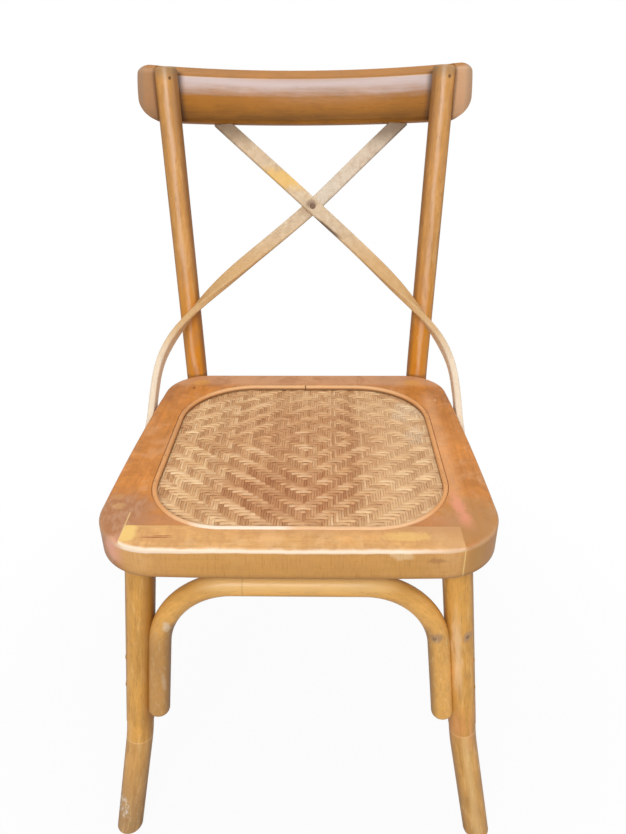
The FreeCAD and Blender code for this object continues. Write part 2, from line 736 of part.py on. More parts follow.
def strap_solid(side, lift, share, extra):
    """A strap's solid along the first share of its length, larger all round by extra."""
    points = strap_points(side, lift)
    curve = Part.BSplineCurve()
    curve.interpolate(list(points.values()))
    crossing = curve.parameter(points["crossing"])
    way = curve.parameter(points["shoulder"]) - crossing
    turn_start = crossing + way * size("strap_turn_start")
    turn_end = crossing + way * size("strap_turn_end")
    last = curve.FirstParameter + (curve.LastParameter - curve.FirstParameter) * share
    count = max(3, round(STRAP_SECTIONS * share))
    wires = []
    for index in range(count + 1):
        parameter = curve.FirstParameter + (last - curve.FirstParameter) * index / count
        turn = smooth_step((parameter - turn_start) / (turn_end - turn_start)) * math.pi / 2
        direction = curve.tangent(parameter)[0]
        facing = strap_facing(direction, side, turn)
        wires.append(strap_section(curve.value(parameter), direction, facing, extra))
    return Part.makeLoft(wires, True, False)


def build_strap(name, side, lift):
    item = doc.addObject("Part::Feature", f"{name}_band")
    item.Shape = strap_solid(side, lift, 1.0, 0)
    socket = doc.addObject("Part::Feature", f"{name}_socket")
    socket.Shape = strap_solid(side, lift, size("strap_socket_share"), size("seat_gap") / 2)
    return item, socket


# Legs, posts and arches


def build_post(name, side, holes):
    """A post and rear leg bent from one rod, cut to the seat's rounded rear corner."""
    top = post_axis(side, size("post_length"))
    foot = rear_leg_axis(side, -post_radius)
    points = [top, post_bend(side), foot]
    bare = rod(f"{name}_rod", points, size("post_bend_radius"), "Sizes.post_diameter / 2")
    rounded = round_ends(
        f"{name}_round", bare, size("post_top_round"), lambda edge: edge.CenterOfMass.z > size("seat_height")
    )
    return cut(name, rounded, [seat_space, floor_block] + holes)


def build_front_leg(name, side, holes):
    """Upper length of a front leg, with a round tenon that enters the seat."""
    shoulder = front_leg_axis(side, seat_bottom_z)
    splice = front_leg_axis(side, size("leg_splice_height"))
    direction = shoulder - splice
    length = direction.Length
    bottom, top = size("leg_splice_diameter") / 2, size("leg_top_diameter") / 2
    over = length + top
    flare = bottom + (top - bottom) * over / length
    taper = turned(f"{name}_taper", [(0, 0), (bottom, 0), (flare, over), (0, over)])
    taper.Placement = along(splice, direction)
    above = block(
        f"{name}_above", Vector(-FAR, -FAR, seat_bottom_z - size("seat_gap") / 3), Vector(FAR, FAR, FAR)
    )
    shank = cut(f"{name}_shank", taper, [above])
    root = shoulder - direction.normalize() * top
    tenon = cylinder(
        f"{name}_tenon", root, direction, "Sizes.tenon_diameter / 2",
        "Sizes.tenon_length + Sizes.leg_top_diameter / 2",
    )
    whole = doc.addObject("Part::Fuse", f"{name}_whole")
    whole.Base, whole.Tool = shank, tenon
    return cut(name, whole, holes)


def tenon_socket(name, side):
    """The hole in the seat boards that takes a front leg's tenon."""
    shoulder = front_leg_axis(side, seat_bottom_z)
    direction = (shoulder - front_leg_axis(side, size("leg_splice_height"))).normalize()
    start = shoulder - direction * size("leg_top_diameter") / 2
    return cylinder(
        f"{name}_socket", start, direction, "Sizes.tenon_diameter / 2 + Sizes.hole_gap",
        "Sizes.tenon_length + Sizes.leg_top_diameter / 2 + Sizes.seat_gap",
    )


def build_leg_foot(name, side, holes):
    """Foot length of a front leg, bent outwards just below the splice."""
    splice = front_leg_axis(side, size("leg_splice_height"))
    knee = front_leg_axis(side, size("leg_knee_height"))
    foot = front_leg_axis(side, -size("leg_foot_diameter") / 2)
    bare = rod(f"{name}_rod", [splice, knee, foot], size("leg_knee_radius"), "Sizes.leg_foot_diameter / 2")
    return cut(name, bare, [floor_block] + holes)


def stand_off(leg_diameter):
    """Distance from a leg's axis to the axis of an arch that is coped round it."""
    return leg_diameter / 2 + arch_radius - size("arch_seating")


def arch_points(axis_a, axis_b, stand_a, stand_b, shift):
    """Corners of an arch between two legs, given by their axes, from one lower end to the other."""
    low, high = size("arch_end_height"), size("arch_height")
    reach = axis_b(high) - axis_a(high)
    reach = Vector(reach.x, reach.y, 0).normalize()
    return [
        axis_a(low) + reach * stand_a + shift,
        axis_a(high) + reach * stand_a + shift,
        axis_b(high) - reach * stand_b + shift,
        axis_b(low) - reach * stand_b + shift,
    ]


def build_arch(name, points, coping):
    """An arch bent from a round rod, its lower ends rounded and its sides coped round the legs."""
    bare = rod(f"{name}_rod", points, size("arch_radius"), "Sizes.arch_diameter / 2")
    rounded = round_ends(
        f"{name}_round", bare, size("arch_end_round"),
        lambda edge: edge.CenterOfMass.z < (size("arch_height") + size("arch_end_height")) / 2,
    )
    return cut(f"{name}_coped", rounded, coping)


def coping_cylinder(name, axis, diameter):
    """The space of a leg, with clearance, that an arch is coped round."""
    low = axis(size("arch_end_height") - size("arch_diameter"))
    high = axis(size("arch_height") + size("arch_diameter"))
    item = cylinder(name, low, high - low, f"Sizes.{diameter} / 2 + Sizes.seat_gap", "1")
    item.setExpression("Height", None)
    item.Height = (high - low).Length
    return item


def leg_screw_place(axis, diameter, towards, rise, shift):
    """A screw driven through a leg towards an arch."""
    centre = axis(size("arch_end_height") + rise) + shift
    return centre - towards * (diameter / 2 - size("screw_sink")), towards


def arch_screw_place(axis, stand, towards, rise, shift):
    """A screw driven through an arch back into the leg it is coped round."""
    centre = axis(size("arch_end_height") + rise) + towards * stand + shift
    return centre + towards * (arch_radius - size("screw_sink")), towards * -1


floor_block = block("floor_block", Vector(-FAR, -FAR, -FAR), Vector(FAR, FAR, size("glide_height")))

# Axes of the four legs, by name
LEG_AXES = {}
for side_name, side_sign in SIDES:
    LEG_AXES[f"front_{side_name}"] = lambda z, sign=side_sign: front_leg_axis(sign, z)
    LEG_AXES[f"rear_{side_name}"] = lambda z, sign=side_sign: rear_leg_axis(sign, z)

front_stand = stand_off(size("leg_splice_diameter"))
rear_stand = stand_off(size("post_diameter"))
across_x = Vector(1, 0, 0)
forward_shift = Vector(0, -size("arch_forward"), 0)
no_shift = Vector()
screw_rises = (size("arch_screw_rise"), size("arch_screw_rise") * 2)

# Corner dowels, along X through the ends of the front and rear boards
corner_places = []
for dowel_y, half_length in (
    (seat_front_y + size("corner_dowel_inset"), size("front_board_length") / 2),
    (seat_rear_y - size("corner_dowel_inset"), size("rear_board_length") / 2),
):
    for side_name, side_sign in SIDES:
        for step in (-0.5, 0.5):
            middle_z = size("seat_height") - size("seat_thickness") / 2
            height = middle_z + step * size("corner_dowel_spacing")
            corner_places.append((Vector(side_sign * half_length, dowel_y, height), across_x))
corner_dowels, corner_holes = dowels(
    "seat_corner_dowels", "corner_dowel_diameter", "corner_dowel_length", corner_places
)

# Splice dowels in the front legs
splice_places = []
for side_name, side_sign in SIDES:
    centre = front_leg_axis(side_sign, size("leg_splice_height"))
    splice_places.append((centre, front_leg_axis(side_sign, seat_bottom_z) - centre))
splice_dowels, splice_holes = dowels(
    "front_leg_splice_dowels", "splice_dowel_diameter", "splice_dowel_length", splice_places
)

# Dowel in the front arch's seam
front_arch_y = front_leg_axis(1, size("arch_height")).y - size("arch_forward")
seam_centre = Vector(size("arch_seam_x"), front_arch_y, size("arch_height"))
arch_dowel, arch_dowel_hole = dowels(
    "front_arch_dowel", "arch_dowel_diameter", "arch_dowel_length", [(seam_centre, across_x)]
)

# Screws of the front and rear arches come through the legs, those of the side arches through the arches
leg_screw_places = []
arch_screw_places = []
for side_name, side_sign in SIDES:
    inwards = Vector(-side_sign, 0, 0)
    front_axis, rear_axis = LEG_AXES[f"front_{side_name}"], LEG_AXES[f"rear_{side_name}"]
    for rise in screw_rises:
        leg_screw_places.append(
            leg_screw_place(front_axis, size("leg_splice_diameter"), inwards, rise, forward_shift / 2)
        )
        leg_screw_places.append(leg_screw_place(rear_axis, size("post_diameter"), inwards, rise, no_shift))
    reach = rear_axis(size("arch_height")) - front_axis(size("arch_height"))
    reach = Vector(reach.x, reach.y, 0).normalize()
    out = Vector(side_sign * size("side_arch_out"), 0, 0)
    rise = size("side_screw_rise")
    arch_screw_places.append(arch_screw_place(front_axis, front_stand, reach, rise, out))
    arch_screw_places.append(arch_screw_place(rear_axis, rear_stand, reach * -1, rise, out))
leg_screws, leg_screw_holes = screws("leg_to_arch_screws", "leg_screw_length", leg_screw_places)
arch_screws, arch_screw_holes = screws("arch_to_leg_screws", "arch_screw_length", arch_screw_places)

# Bolts through the posts into the rear board, with plugs over their heads
bolt_places = []
bolt_plug_places = []
for side_name, side_sign in SIDES:
    bend = post_bend(side_sign)
    back_y = seat_rear_y + size("post_setback") + post_radius
    head_start = Vector(bend.x, back_y - size("plug_length") - size("seat_gap"), size("post_bend_height"))
    bolt_places.append((head_start, Vector(0, -1, 0)))
    bolt_plug_places.append((Vector(bend.x, back_y, size("post_bend_height")), Vector(0, -1, 0)))
doc.recompute()
bolt_pattern = turned("bolt_pattern", bolt_profile(0, 0))
bolt_hole = turned("bolt_hole", bolt_profile(size("hole_gap"), 0))
plug_radius = size("plug_diameter") / 2
plug_length = size("plug_length")
plug_pattern = turned(
    "plug_pattern", [(0, 0), (plug_radius, 0), (plug_radius, plug_length), (0, plug_length)]
)
plug_bore = plug_radius + size("hole_gap")
plug_end = plug_length + size("hole_gap")
plug_hole = turned(
    "plug_hole", [(0, -plug_length), (plug_bore, -plug_length), (plug_bore, plug_end), (0, plug_end)]
)
doc.recompute()
post_bolts = group("post_bolts", placed_copies(bolt_pattern.Shape, bolt_places))
bolt_holes = group("bolt_holes", placed_copies(bolt_hole.Shape, bolt_places))
post_plugs = group("post_plugs", placed_copies(plug_pattern.Shape, bolt_plug_places))
post_plug_holes = group("post_plug_holes", placed_copies(plug_hole.Shape, bolt_plug_places))

# Screws through the rail into the posts, square to the rail's bowed face, with plugs over their heads
rail_screw_places = []
rail_plug_places = []
for side_name, side_sign in SIDES:
    share = post_x_at_rail / (size("rail_radius") - rail_face_behind_post)
    rear_radius = size("rail_radius") + size("rail_thickness")
    surface_back = rail_axis_back + rear_radius * math.sqrt(1 - share ** 2)
    surface = on_back(side_sign * rear_radius * share, surface_back, rail_middle_rise)
    centre = on_back(side_sign * post_x_at_rail, 0, rail_middle_rise)
    inwards = (centre - surface).normalize()
    rail_plug_places.append((surface, inwards))
    rail_screw_places.append((surface + inwards * (plug_length + size("seat_gap")), inwards))
rail_screws, rail_screw_holes = screws("rail_screws", "rail_screw_length", rail_screw_places)
rail_plugs = group("rail_plugs", placed_copies(plug_pattern.Shape, rail_plug_places))
rail_plug_holes = group("rail_plug_holes", placed_copies(plug_hole.Shape, rail_plug_places))

# Screw where the straps cross, driven from the front
lift = (size("strap_thickness") + size("strap_cross_gap")) / 2
face_back = size("strap_cross_back") - lift - size("strap_thickness") / 2
cross_start = on_back(size("strap_cross_shift"), face_back + size("screw_sink"), size("strap_cross_rise"))
backwards = on_back(0, 1, 0) - on_back(0, 0, 0)
cross_screw, cross_screw_hole = screws("cross_screw", "cross_screw_length", [(cross_start, backwards)])

# Screws at the straps' lower ends, into the seat's sides
strap_end_places = []
for side_name, side_sign in SIDES:
    end_y = seat_rear_y - size("strap_end_reach") + size("strap_screw_back")
    end_z = size("seat_height") - size("strap_end_drop") + size("strap_screw_up")
    end_x = seat_side_x(end_y) + size("seat_gap") + size("strap_thickness") - size("screw_sink")
    strap_end_places.append((Vector(side_sign * end_x, end_y, end_z), Vector(-side_sign, 0, 0)))
strap_end_screws, strap_end_holes = screws("strap_end_screws", "strap_screw_length", strap_end_places)

# Screws up through the ledge into the backing board
ledge_bottom = seat_bottom_z
backing_top = size("seat_height") - size("rebate_depth") + size("backing_thickness")
ledge_middle = size("opening_width") / 2 - size("ledge_width") / 2
screw_start_z = backing_top - size("hole_gap") * 4 - size("backing_screw_length")
backing_places = []
for side_name, side_sign in SIDES:
    for share in (-0.5, 0.5):
        y = size("seat_centre_y") + share * size("opening_width") / 2
        backing_places.append((Vector(side_sign * ledge_middle, y, screw_start_z), UP))
backing_screws, backing_holes = screws("backing_screws", "backing_screw_length", backing_places)
access_bores = group(
    "backing_screw_access",
    [
        Part.makeCylinder(
            size("screw_head_diameter") / 2 + size("hole_gap"),
            screw_start_z - ledge_bottom + size("cut_margin"),
            Vector(start.x, start.y, ledge_bottom - size("cut_margin")), UP,
        )
        for start, direction in backing_places
    ],
)

# Glides: a domed disc and its nail under each foot
glide_radius = size("glide_diameter") / 2
glide_height = size("glide_height")
nail_radius = size("glide_nail_diameter") / 2
nail_tip = glide_height + size("glide_nail_length")
glide_round = glide_height / 4
glide_pattern = turned(
    "glide_pattern",
    [
        (0, 0), (glide_radius - glide_round, 0), (glide_radius, glide_round), (glide_radius, glide_height),
        (nail_radius, glide_height), (nail_radius, nail_tip), (0, nail_tip),
    ],
)
nail_bore = nail_radius + size("hole_gap")
nail_end = nail_tip + size("hole_gap")
nail_hole = turned("nail_hole", [(0, 0), (nail_bore, 0), (nail_bore, nail_end), (0, nail_end)])
doc.recompute()
glide_places = []
for leg_name, leg_axis in LEG_AXES.items():
    centre = leg_axis(glide_height)
    glide_places.append((Vector(centre.x, centre.y, 0), UP))
foot_glides = group("foot_glides", placed_copies(glide_pattern.Shape, glide_places))
nail_holes = group("nail_holes", placed_copies(nail_hole.Shape, glide_places))

# Seat
sockets = [tenon_socket(f"front_leg_{side_name}", side_sign) for side_name, side_sign in SIDES]
blank = build_seat_blank()
boards = build_seat_boards(
    blank,
    {
        "seat_front_rail": [corner_holes, sockets[0], sockets[1]],
        "seat_rear_rail": [corner_holes, bolt_holes],
        "seat_side_rail_left": [corner_holes, sockets[0], strap_end_holes, backing_holes, access_bores],
        "seat_side_rail_right": [corner_holes, sockets[1], strap_end_holes, backing_holes, access_bores],
    },
)
backing = cut("seat_backing_board", build_backing(), [backing_holes])
weave = build_weave()
bead = build_bead()

# Back
seat_space = build_seat_space()
straps = []
strap_sockets = []
STRAPS = (("cross_strap_front", 1, lift), ("cross_strap_rear", -1, -lift))
for strap_name, strap_side, strap_lift in STRAPS:
    band, socket = build_strap(strap_name, strap_side, strap_lift)
    straps.append(cut(strap_name, band, [cross_screw_hole, strap_end_holes]))
    strap_sockets.append(socket)
posts = []
post_grooves = []
for side_name, side_sign in SIDES:
    name = f"rear_post_{side_name}"
    posts.append(build_post(
        name, side_sign,
        [bolt_holes, post_plug_holes, rail_screw_holes, leg_screw_holes, arch_screw_holes, nail_holes],
    ))
    base = post_axis(side_sign, rail_bottom - post_radius)
    top = post_axis(side_sign, rail_bottom + size("rail_height") + post_radius)
    bore = "Sizes.post_diameter / 2 + Sizes.seat_gap / 2"
    groove = cylinder(f"{name}_groove", base, top - base, bore, "1")
    groove.setExpression("Height", None)
    groove.Height = (top - base).Length
    post_grooves.append(groove)
top_rail = cut(
    "top_rail", build_rail_blank(), post_grooves + strap_sockets + [rail_screw_holes, rail_plug_holes]
)

# Front legs
legs = []
for side_name, side_sign in SIDES:
    legs.append(build_front_leg(
        f"front_leg_{side_name}", side_sign, [splice_holes, leg_screw_holes, arch_screw_holes]
    ))
    legs.append(build_leg_foot(f"front_leg_foot_{side_name}", side_sign, [splice_holes, nail_holes]))

# Arches
coping = {}
for leg_name, leg_axis in LEG_AXES.items():
    diameter_alias = "leg_top_diameter" if leg_name.startswith("front") else "post_diameter"
    coping[leg_name] = coping_cylinder(f"coping_{leg_name}", leg_axis, diameter_alias)
front_arch = build_arch(
    "front_arch",
    arch_points(LEG_AXES["front_left"], LEG_AXES["front_right"], front_stand, front_stand, forward_shift),
    [coping["front_left"], coping["front_right"], leg_screw_holes, arch_dowel_hole],
)
seam_x = size("arch_seam_x")
front_arch_left = common(
    "front_arch_left", front_arch, block("left_of_seam", Vector(-FAR, -FAR, 0), Vector(seam_x, FAR, FAR))
)
front_arch_right = common(
    "front_arch_right", front_arch, block("right_of_seam", Vector(seam_x, -FAR, 0), Vector(FAR, FAR, FAR))
)
rear_arch = build_arch(
    "rear_arch",
    arch_points(LEG_AXES["rear_left"], LEG_AXES["rear_right"], rear_stand, rear_stand, no_shift),
    [coping["rear_left"], coping["rear_right"], leg_screw_holes],
)
rear_arch.Label = "rear_arch"
side_arches = []
for side_name, side_sign in SIDES:
    front_name, rear_name = f"front_{side_name}", f"rear_{side_name}"
    out = Vector(side_sign * size("side_arch_out"), 0, 0)
    arch = build_arch(
        f"side_arch_{side_name}",
        arch_points(LEG_AXES[front_name], LEG_AXES[rear_name], front_stand, rear_stand, out),
        [coping[front_name], coping[rear_name], arch_screw_holes],
    )
    arch.Label = f"side_arch_{side_name}"
    side_arches.append(arch)

doc.recompute()

# Every sub-part that is written, each under its label
SUB_PARTS = (
    [top_rail, cross_screw, strap_end_screws, rail_screws, rail_plugs, post_bolts, post_plugs]
    + posts + straps + boards + [corner_dowels, backing, weave, bead, backing_screws]
    + legs + [splice_dowels, front_arch_left, front_arch_right, arch_dowel, rear_arch]
    + side_arches + [leg_screws, arch_screws, foot_glides]
)

for item in doc.Objects:
    if "Invalid" in item.State or "Error" in item.State:
        raise RuntimeError(f"{item.Name} did not build: {item.State}")
for item in SUB_PARTS:
    shape = item.Shape
    if shape.isNull() or not shape.isValid() or not shape.Solids:
        raise RuntimeError(f"{item.Label} has no sound solid")

os.makedirs("parts", exist_ok=True)
whole = FreeCAD.BoundBox()
for item in SUB_PARTS:
    item.Shape.exportStep(f"parts/{item.Label}.step")
    whole.add(item.Shape.optimalBoundingBox(False))
    print(f"{item.Label}: {len(item.Shape.Solids)} solids, {item.Shape.Volume / 1000:.1f} cm3")
print(f"{len(SUB_PARTS)} sub-parts, box {whole}")
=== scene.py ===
"""Looks of a cross back chair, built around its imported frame."""

import math

import bpy
from mathutils import Matrix, Vector


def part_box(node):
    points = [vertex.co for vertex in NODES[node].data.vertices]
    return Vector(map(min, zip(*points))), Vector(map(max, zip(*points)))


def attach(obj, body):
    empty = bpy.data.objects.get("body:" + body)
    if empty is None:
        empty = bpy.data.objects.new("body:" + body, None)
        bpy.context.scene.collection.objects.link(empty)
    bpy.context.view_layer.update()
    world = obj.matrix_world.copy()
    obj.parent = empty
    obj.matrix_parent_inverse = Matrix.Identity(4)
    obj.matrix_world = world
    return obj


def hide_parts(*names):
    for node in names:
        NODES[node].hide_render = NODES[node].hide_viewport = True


bl_info = {
    "name": "Cross back chair",
    "version": (1, 0, 0),
    "blender": (4, 5, 0),
    "location": "3D View > Sidebar > Chair",
    "description": "Woods, woven rattan seat and stage of a cross back chair",
    "category": "Object",
}

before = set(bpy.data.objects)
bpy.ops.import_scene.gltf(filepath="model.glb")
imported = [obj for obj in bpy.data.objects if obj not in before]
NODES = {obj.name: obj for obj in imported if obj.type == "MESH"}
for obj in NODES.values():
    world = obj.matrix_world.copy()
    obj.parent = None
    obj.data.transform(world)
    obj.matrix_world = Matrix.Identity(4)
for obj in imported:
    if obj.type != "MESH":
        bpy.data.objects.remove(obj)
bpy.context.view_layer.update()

# Places that the looks share with the frame, in metres
SEAT_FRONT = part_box("seat_front_rail")[0].y
SEAT_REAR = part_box("seat_rear_rail")[1].y
SEAT_MIDDLE = (SEAT_FRONT + SEAT_REAR) / 2
WEAVE_LOW, WEAVE_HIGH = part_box("rattan_seat_panel")
POST_BEND_Z = 0.440
KNEE_Z = 0.165
# Arches: height of the crosspiece and of the ends, the bend's and the rod's radius, and slopes
ARCH_Z = 0.388
ARCH_END_Z = 0.2045
ARCH_SHOULDER = 0.086
ARCH_RADIUS = 0.01275
ARCH_RAKE = 0.119
SIDE_ARCH_SLOPE = 0.1415
# A front leg's axis at the knee, beside and ahead of the middle, and its slopes above the knee
LEG_AXIS = (0.198, -0.2628)
LEG_SLOPE = (0.1016, 0.1192)
# Slopes outwards and backwards: a foot's below the knee, a post's and a rear leg's about their bend
FOOT_SLOPE = (0.1853, -0.1192)
POST_SLOPE = (0.0477, 0.2007)
REAR_LEG_SLOPE = (0.0559, 0.1638)
# A post's axis at its bend, beside the middle
POST_X = 0.1705
# Where the front board's glue lines and the legs' splices are seen
JOINT_LEFT, JOINT_RIGHT, JOINT_REAR = -0.183, 0.1715, -0.2335
RING_LEFT, RING_RIGHT = 0.160, 0.176
# Seat's half width and corner radius in front, and how much both lose to the rear
SEAT_HALF_WIDTH, SEAT_TAPER = 0.217, 0.0155
SEAT_CORNER, SEAT_CORNER_TAPER = 0.068, 0.01
# The weave keeps a little in from the rebate, and has more strands on each side than fit
WEAVE_TRIM = 0.001
WEAVE_CORNER_FRONT, WEAVE_CORNER_REAR = 0.091, 0.099
WEAVE_STRANDS = 42
# The rail's bow lies square to its lean, so its ends stand higher than its middle
RAIL_LEAN = POST_SLOPE[1]
RAIL_BOW = 1.04
RAIL_RISE = 0.205
# Radians
CAMERA_TURN, CAMERA_ROLL = -0.020405, -0.0076836
WHITE = (1.0, 1.0, 1.0, 1.0)


def paint(red, green, blue):
    """A colour as a display shows it, from 0 to 255, in the linear numbers that shaders use."""
    shares = (level / 255 for level in (red, green, blue))
    return tuple(share / 12.92 if share <= 0.04045 else ((share + 0.055) / 1.055) ** 2.4 for share in shares)


def maths(operation, swapped=False):
    """A method of Value that works on one or two numbers."""
    def method(self, other=None):
        pair = (other, self) if swapped else (self, other)
        values = {place: number for place, number in enumerate(pair) if number is not None}
        return self.tree.number("Math", {"operation": operation}, values)
    return method


class Value:
    """A number that flows between nodes, on which sums are written as in Python."""

    def __init__(self, tree, socket):
        self.tree = tree
        self.socket = socket

    __add__ = maths("ADD")
    __radd__ = maths("ADD", True)
    __sub__ = maths("SUBTRACT")
    __rsub__ = maths("SUBTRACT", True)
    __mul__ = maths("MULTIPLY")
    __rmul__ = maths("MULTIPLY", True)
    __truediv__ = maths("DIVIDE")
    __pow__ = maths("POWER")
    __abs__ = maths("ABSOLUTE")
    floor = maths("FLOOR")
    root = maths("SQRT")
    remainder = maths("FLOORED_MODULO")
    angle = maths("ARCTAN2")
    # The greater and the lesser of two numbers, and 1 where this number is the greater
    above = maths("MAXIMUM")
    below = maths("MINIMUM")
    over = maths("GREATER_THAN")

    def fade(self, low, high):
        """A smooth step from 0 at low to 1 at high."""
        settings = {"interpolation_type": "SMOOTHSTEP"}
        values = {"Value": self, "From Min": low, "From Max": high}
        return self.tree.number("MapRange", settings, values)

    def fall(self, low, high):
        """A smooth step from 1 at low to 0 at high."""
        return 1.0 - self.fade(low, high)

    def near(self, low, high):
        """1 where this number is about 0, and 0 where it is further than high from it."""
        return 1.0 - abs(self).fade(low, high)

    def between(self, low, high, soft):
        """1 between two numbers, with soft ends."""
        return self.fade(low - soft, low + soft) * self.fall(high - soft, high + soft)


class Nodes:
    """A node tree that is filled by one method."""

    def __init__(self, tree):
        self.tree = tree
        tree.nodes.clear()

    def node(self, kind, settings=None, values=None):
        """A shader node by its short name or another by its full one, its settings set before its inputs."""
        made = self.tree.nodes.new(kind if "Node" in kind else f"ShaderNode{kind}")
        for name, setting in (settings or {}).items():
            if name == "stops":
                self.set_stops(made.color_ramp, setting)
            else:
                setattr(made, name, setting)
        for name, value in (values or {}).items():
            socket = made.inputs[name]
            if isinstance(value, Value):
                self.tree.links.new(value.socket, socket)
            elif isinstance(value, bpy.types.NodeSocket):
                self.tree.links.new(value, socket)
            else:
                socket.default_value = value
        return made

    def set_stops(self, ramp, stops):
        while len(ramp.elements) < len(stops):
            ramp.elements.new(1.0)
        for element, (place, colour) in zip(ramp.elements, stops):
            element.position = place
            element.color = (*colour, 1.0)

    def number(self, kind, settings=None, values=None, output=0):
        return Value(self, self.node(kind, settings, values).outputs[output])

    def split(self, vector):
        """The three numbers of a vector."""
        parts = self.node("SeparateXYZ", None, {"Vector": vector}).outputs
        return [Value(self, part) for part in parts]

    def join(self, x, y, z):
        """A vector of three numbers."""
        return self.node("CombineXYZ", None, {"X": x, "Y": y, "Z": z}).outputs[0]


class Finish(Nodes):
    """A material, in which patterns follow the object's own coordinates in metres."""

    def __init__(self, name):
        self.material = bpy.data.materials.new(name)
        self.material.use_nodes = True
        super().__init__(self.material.node_tree)
        self.place = self.split(self.node("TexCoord").outputs["Object"])
        self.x, self.y, self.z = self.place

    def noise(self, place, scale, detail=4.0, rough=0.55, twist=0.0):
        """Noise from 0 to 1 at a place of three numbers, each with its own scale."""
        vector = self.join(*(number * factor for number, factor in zip(place, scale)))
        values = {
            "Vector": vector, "Scale": 1.0, "Detail": detail, "Roughness": rough, "Distortion": twist,
        }
        return self.number("TexNoise", {"noise_dimensions": "3D"}, values)

    def grit(self, *noise):
        """Noise that follows no grain."""
        return self.noise(self.place, *noise)

    def ramp(self, value, stops):
        """A colour looked up by a number from 0 to 1."""
        return self.node("ValToRGB", {"stops": stops}, {"Fac": value}).outputs[0]

    def mix(self, share, first, second, blend="MIX"):
        """Two colours mixed by a share."""
        settings = {"data_type": "RGBA", "blend_type": blend}
        colours = {0: share, 6: self.colour(first), 7: self.colour(second)}
        return self.node("Mix", settings, colours).outputs[2]

    def colour(self, colour):
        return (*colour, 1.0) if isinstance(colour, tuple) else colour

    def spot(self, centre, radii, ragged=0.0, core=0.2):
        """1 at the middle of a soft spot, 0 outside it, with an edge as ragged as asked."""
        total = None
        for number, middle, radius in zip(self.place, centre, radii):
            if middle is not None:
                part = ((number - middle) / radius) ** 2.0
                total = part if total is None else total + part
        if ragged:
            scale = 1.2 / min(radius for radius in radii if radius)
            total = total + (self.grit((scale, scale, scale), 3.0) - 0.5) * ragged
        return total.fall(core, 1.0)

    def top_spot(self, x, y, width, depth, *edge):
        """A spot as seen from above."""
        return self.spot((x, y, None), (width, depth, 1.0), *edge)

    def front_spot(self, x, z, width, height, *edge):
        """A spot as seen from the front."""
        return self.spot((x, None, z), (width, 1.0, height), *edge)

    def patches(self, colour, patches):
        """Soft patches of other colours: each a mask, a share and a colour from 0 to 255."""
        for mask, share, other in patches:
            colour = self.mix(mask * share, colour, paint(*other))
        return colour

    def finish(self, colour, rough, height, depth, gloss=0.0, metal=0.0):
        """End in a principled shader, with a bump of a depth in metres."""
        bump = self.node("Bump", None, {"Strength": 1.0, "Distance": depth, "Height": height})
        values = {
            "Base Color": self.colour(colour), "Roughness": rough, "Metallic": metal,
            "Coat Weight": gloss, "Coat Roughness": 0.2, "Specular IOR Level": 0.3,
            "Normal": bump.outputs[0],
        }
        shader = self.node("BsdfPrincipled", None, values)
        self.node("OutputMaterial", None, {"Surface": shader.outputs[0]})
        return self.material


def placed(name, data):
    """A new object in the scene."""
    made = bpy.data.objects.new(name, data)
    bpy.context.scene.collection.objects.link(made)
    return made


def dress(material, *names):
    """Give CAD nodes a material."""
    for name in names:
        mesh = NODES[name].data
        mesh.materials.clear()
        mesh.materials.append(material)


# Grain: each wood's lines follow the piece's own run. A place in the grain is across, through and along it.


def bent_grain(finish, side, bend, above, below):
    """Along a rod that bends at a height, with its outward and backward slopes above and below the bend."""
    over = (finish.z - bend).above(0.0)
    under = (bend - finish.z).above(0.0)
    across = finish.x - over * (side * above[0]) - under * (side * below[0])
    through = finish.y - over * above[1] - under * below[1]
    return across, through, finish.z


def rail_grain(finish):
    bow = finish.x * finish.x
    return finish.z - bow * RAIL_RISE, finish.y - finish.z * RAIL_LEAN + bow * RAIL_BOW, finish.x


def outline_distance(x, y, half_width, front, rear, corner):
    """How far in from a rounded outline a place lies, seen from above."""
    out_x = abs(x) - half_width + corner
    out_y = abs(y - (front + rear) * 0.5) - (rear - front) * 0.5 + corner
    reach = (out_x.above(0.0) ** 2.0 + out_y.above(0.0) ** 2.0).root() + out_x.above(out_y).below(0.0)
    return corner - reach


def seat_edge(finish):
    """How far in from the seat's outer edge a place lies, which narrows and tightens to the rear."""
    share = (finish.y - SEAT_FRONT) / (SEAT_REAR - SEAT_FRONT)
    half_width = SEAT_HALF_WIDTH - share * SEAT_TAPER
    corner = SEAT_CORNER - share * SEAT_CORNER_TAPER
    return outline_distance(finish.x, finish.y, half_width, SEAT_FRONT, SEAT_REAR, corner)


def arch_grain(finish, run, beside, half, slope):
    """Along an arch whose crosspiece runs one way, round its shoulders and down its sides."""
    out = abs(run) - (ARCH_Z - finish.z) * slope - (half - ARCH_SHOULDER)
    up = finish.z - (ARCH_Z - ARCH_SHOULDER)
    corner = (out.above(0.0) ** 2.0 + up.above(0.0) ** 2.0).root()
    across = corner + out.above(up).below(0.0)
    turn = out.above(0.0).angle(up.above(0.0))
    along = turn * ARCH_SHOULDER - up.below(0.0) + out.below(0.0)
    return across, beside, along


def centre_line(name, steps):
    """Middle of a CAD node at heights from its bottom to its top, as shares of a metre about 0.5."""
    low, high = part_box(name)
    bands = [[] for step in range(steps)]
    for vertex in NODES[name].data.vertices:
        step = min(steps - 1, int((vertex.co.z - low.z) / (high.z - low.z) * steps))
        bands[step].append(vertex.co)
    stops = []
    for step, band in enumerate(bands):
        middle = sum(band, Vector()) / len(band)
        stops.append(((step + 0.5) / steps, (middle.x + 0.5, middle.y + 0.5, 0.0)))
    return low.z, high.z, stops


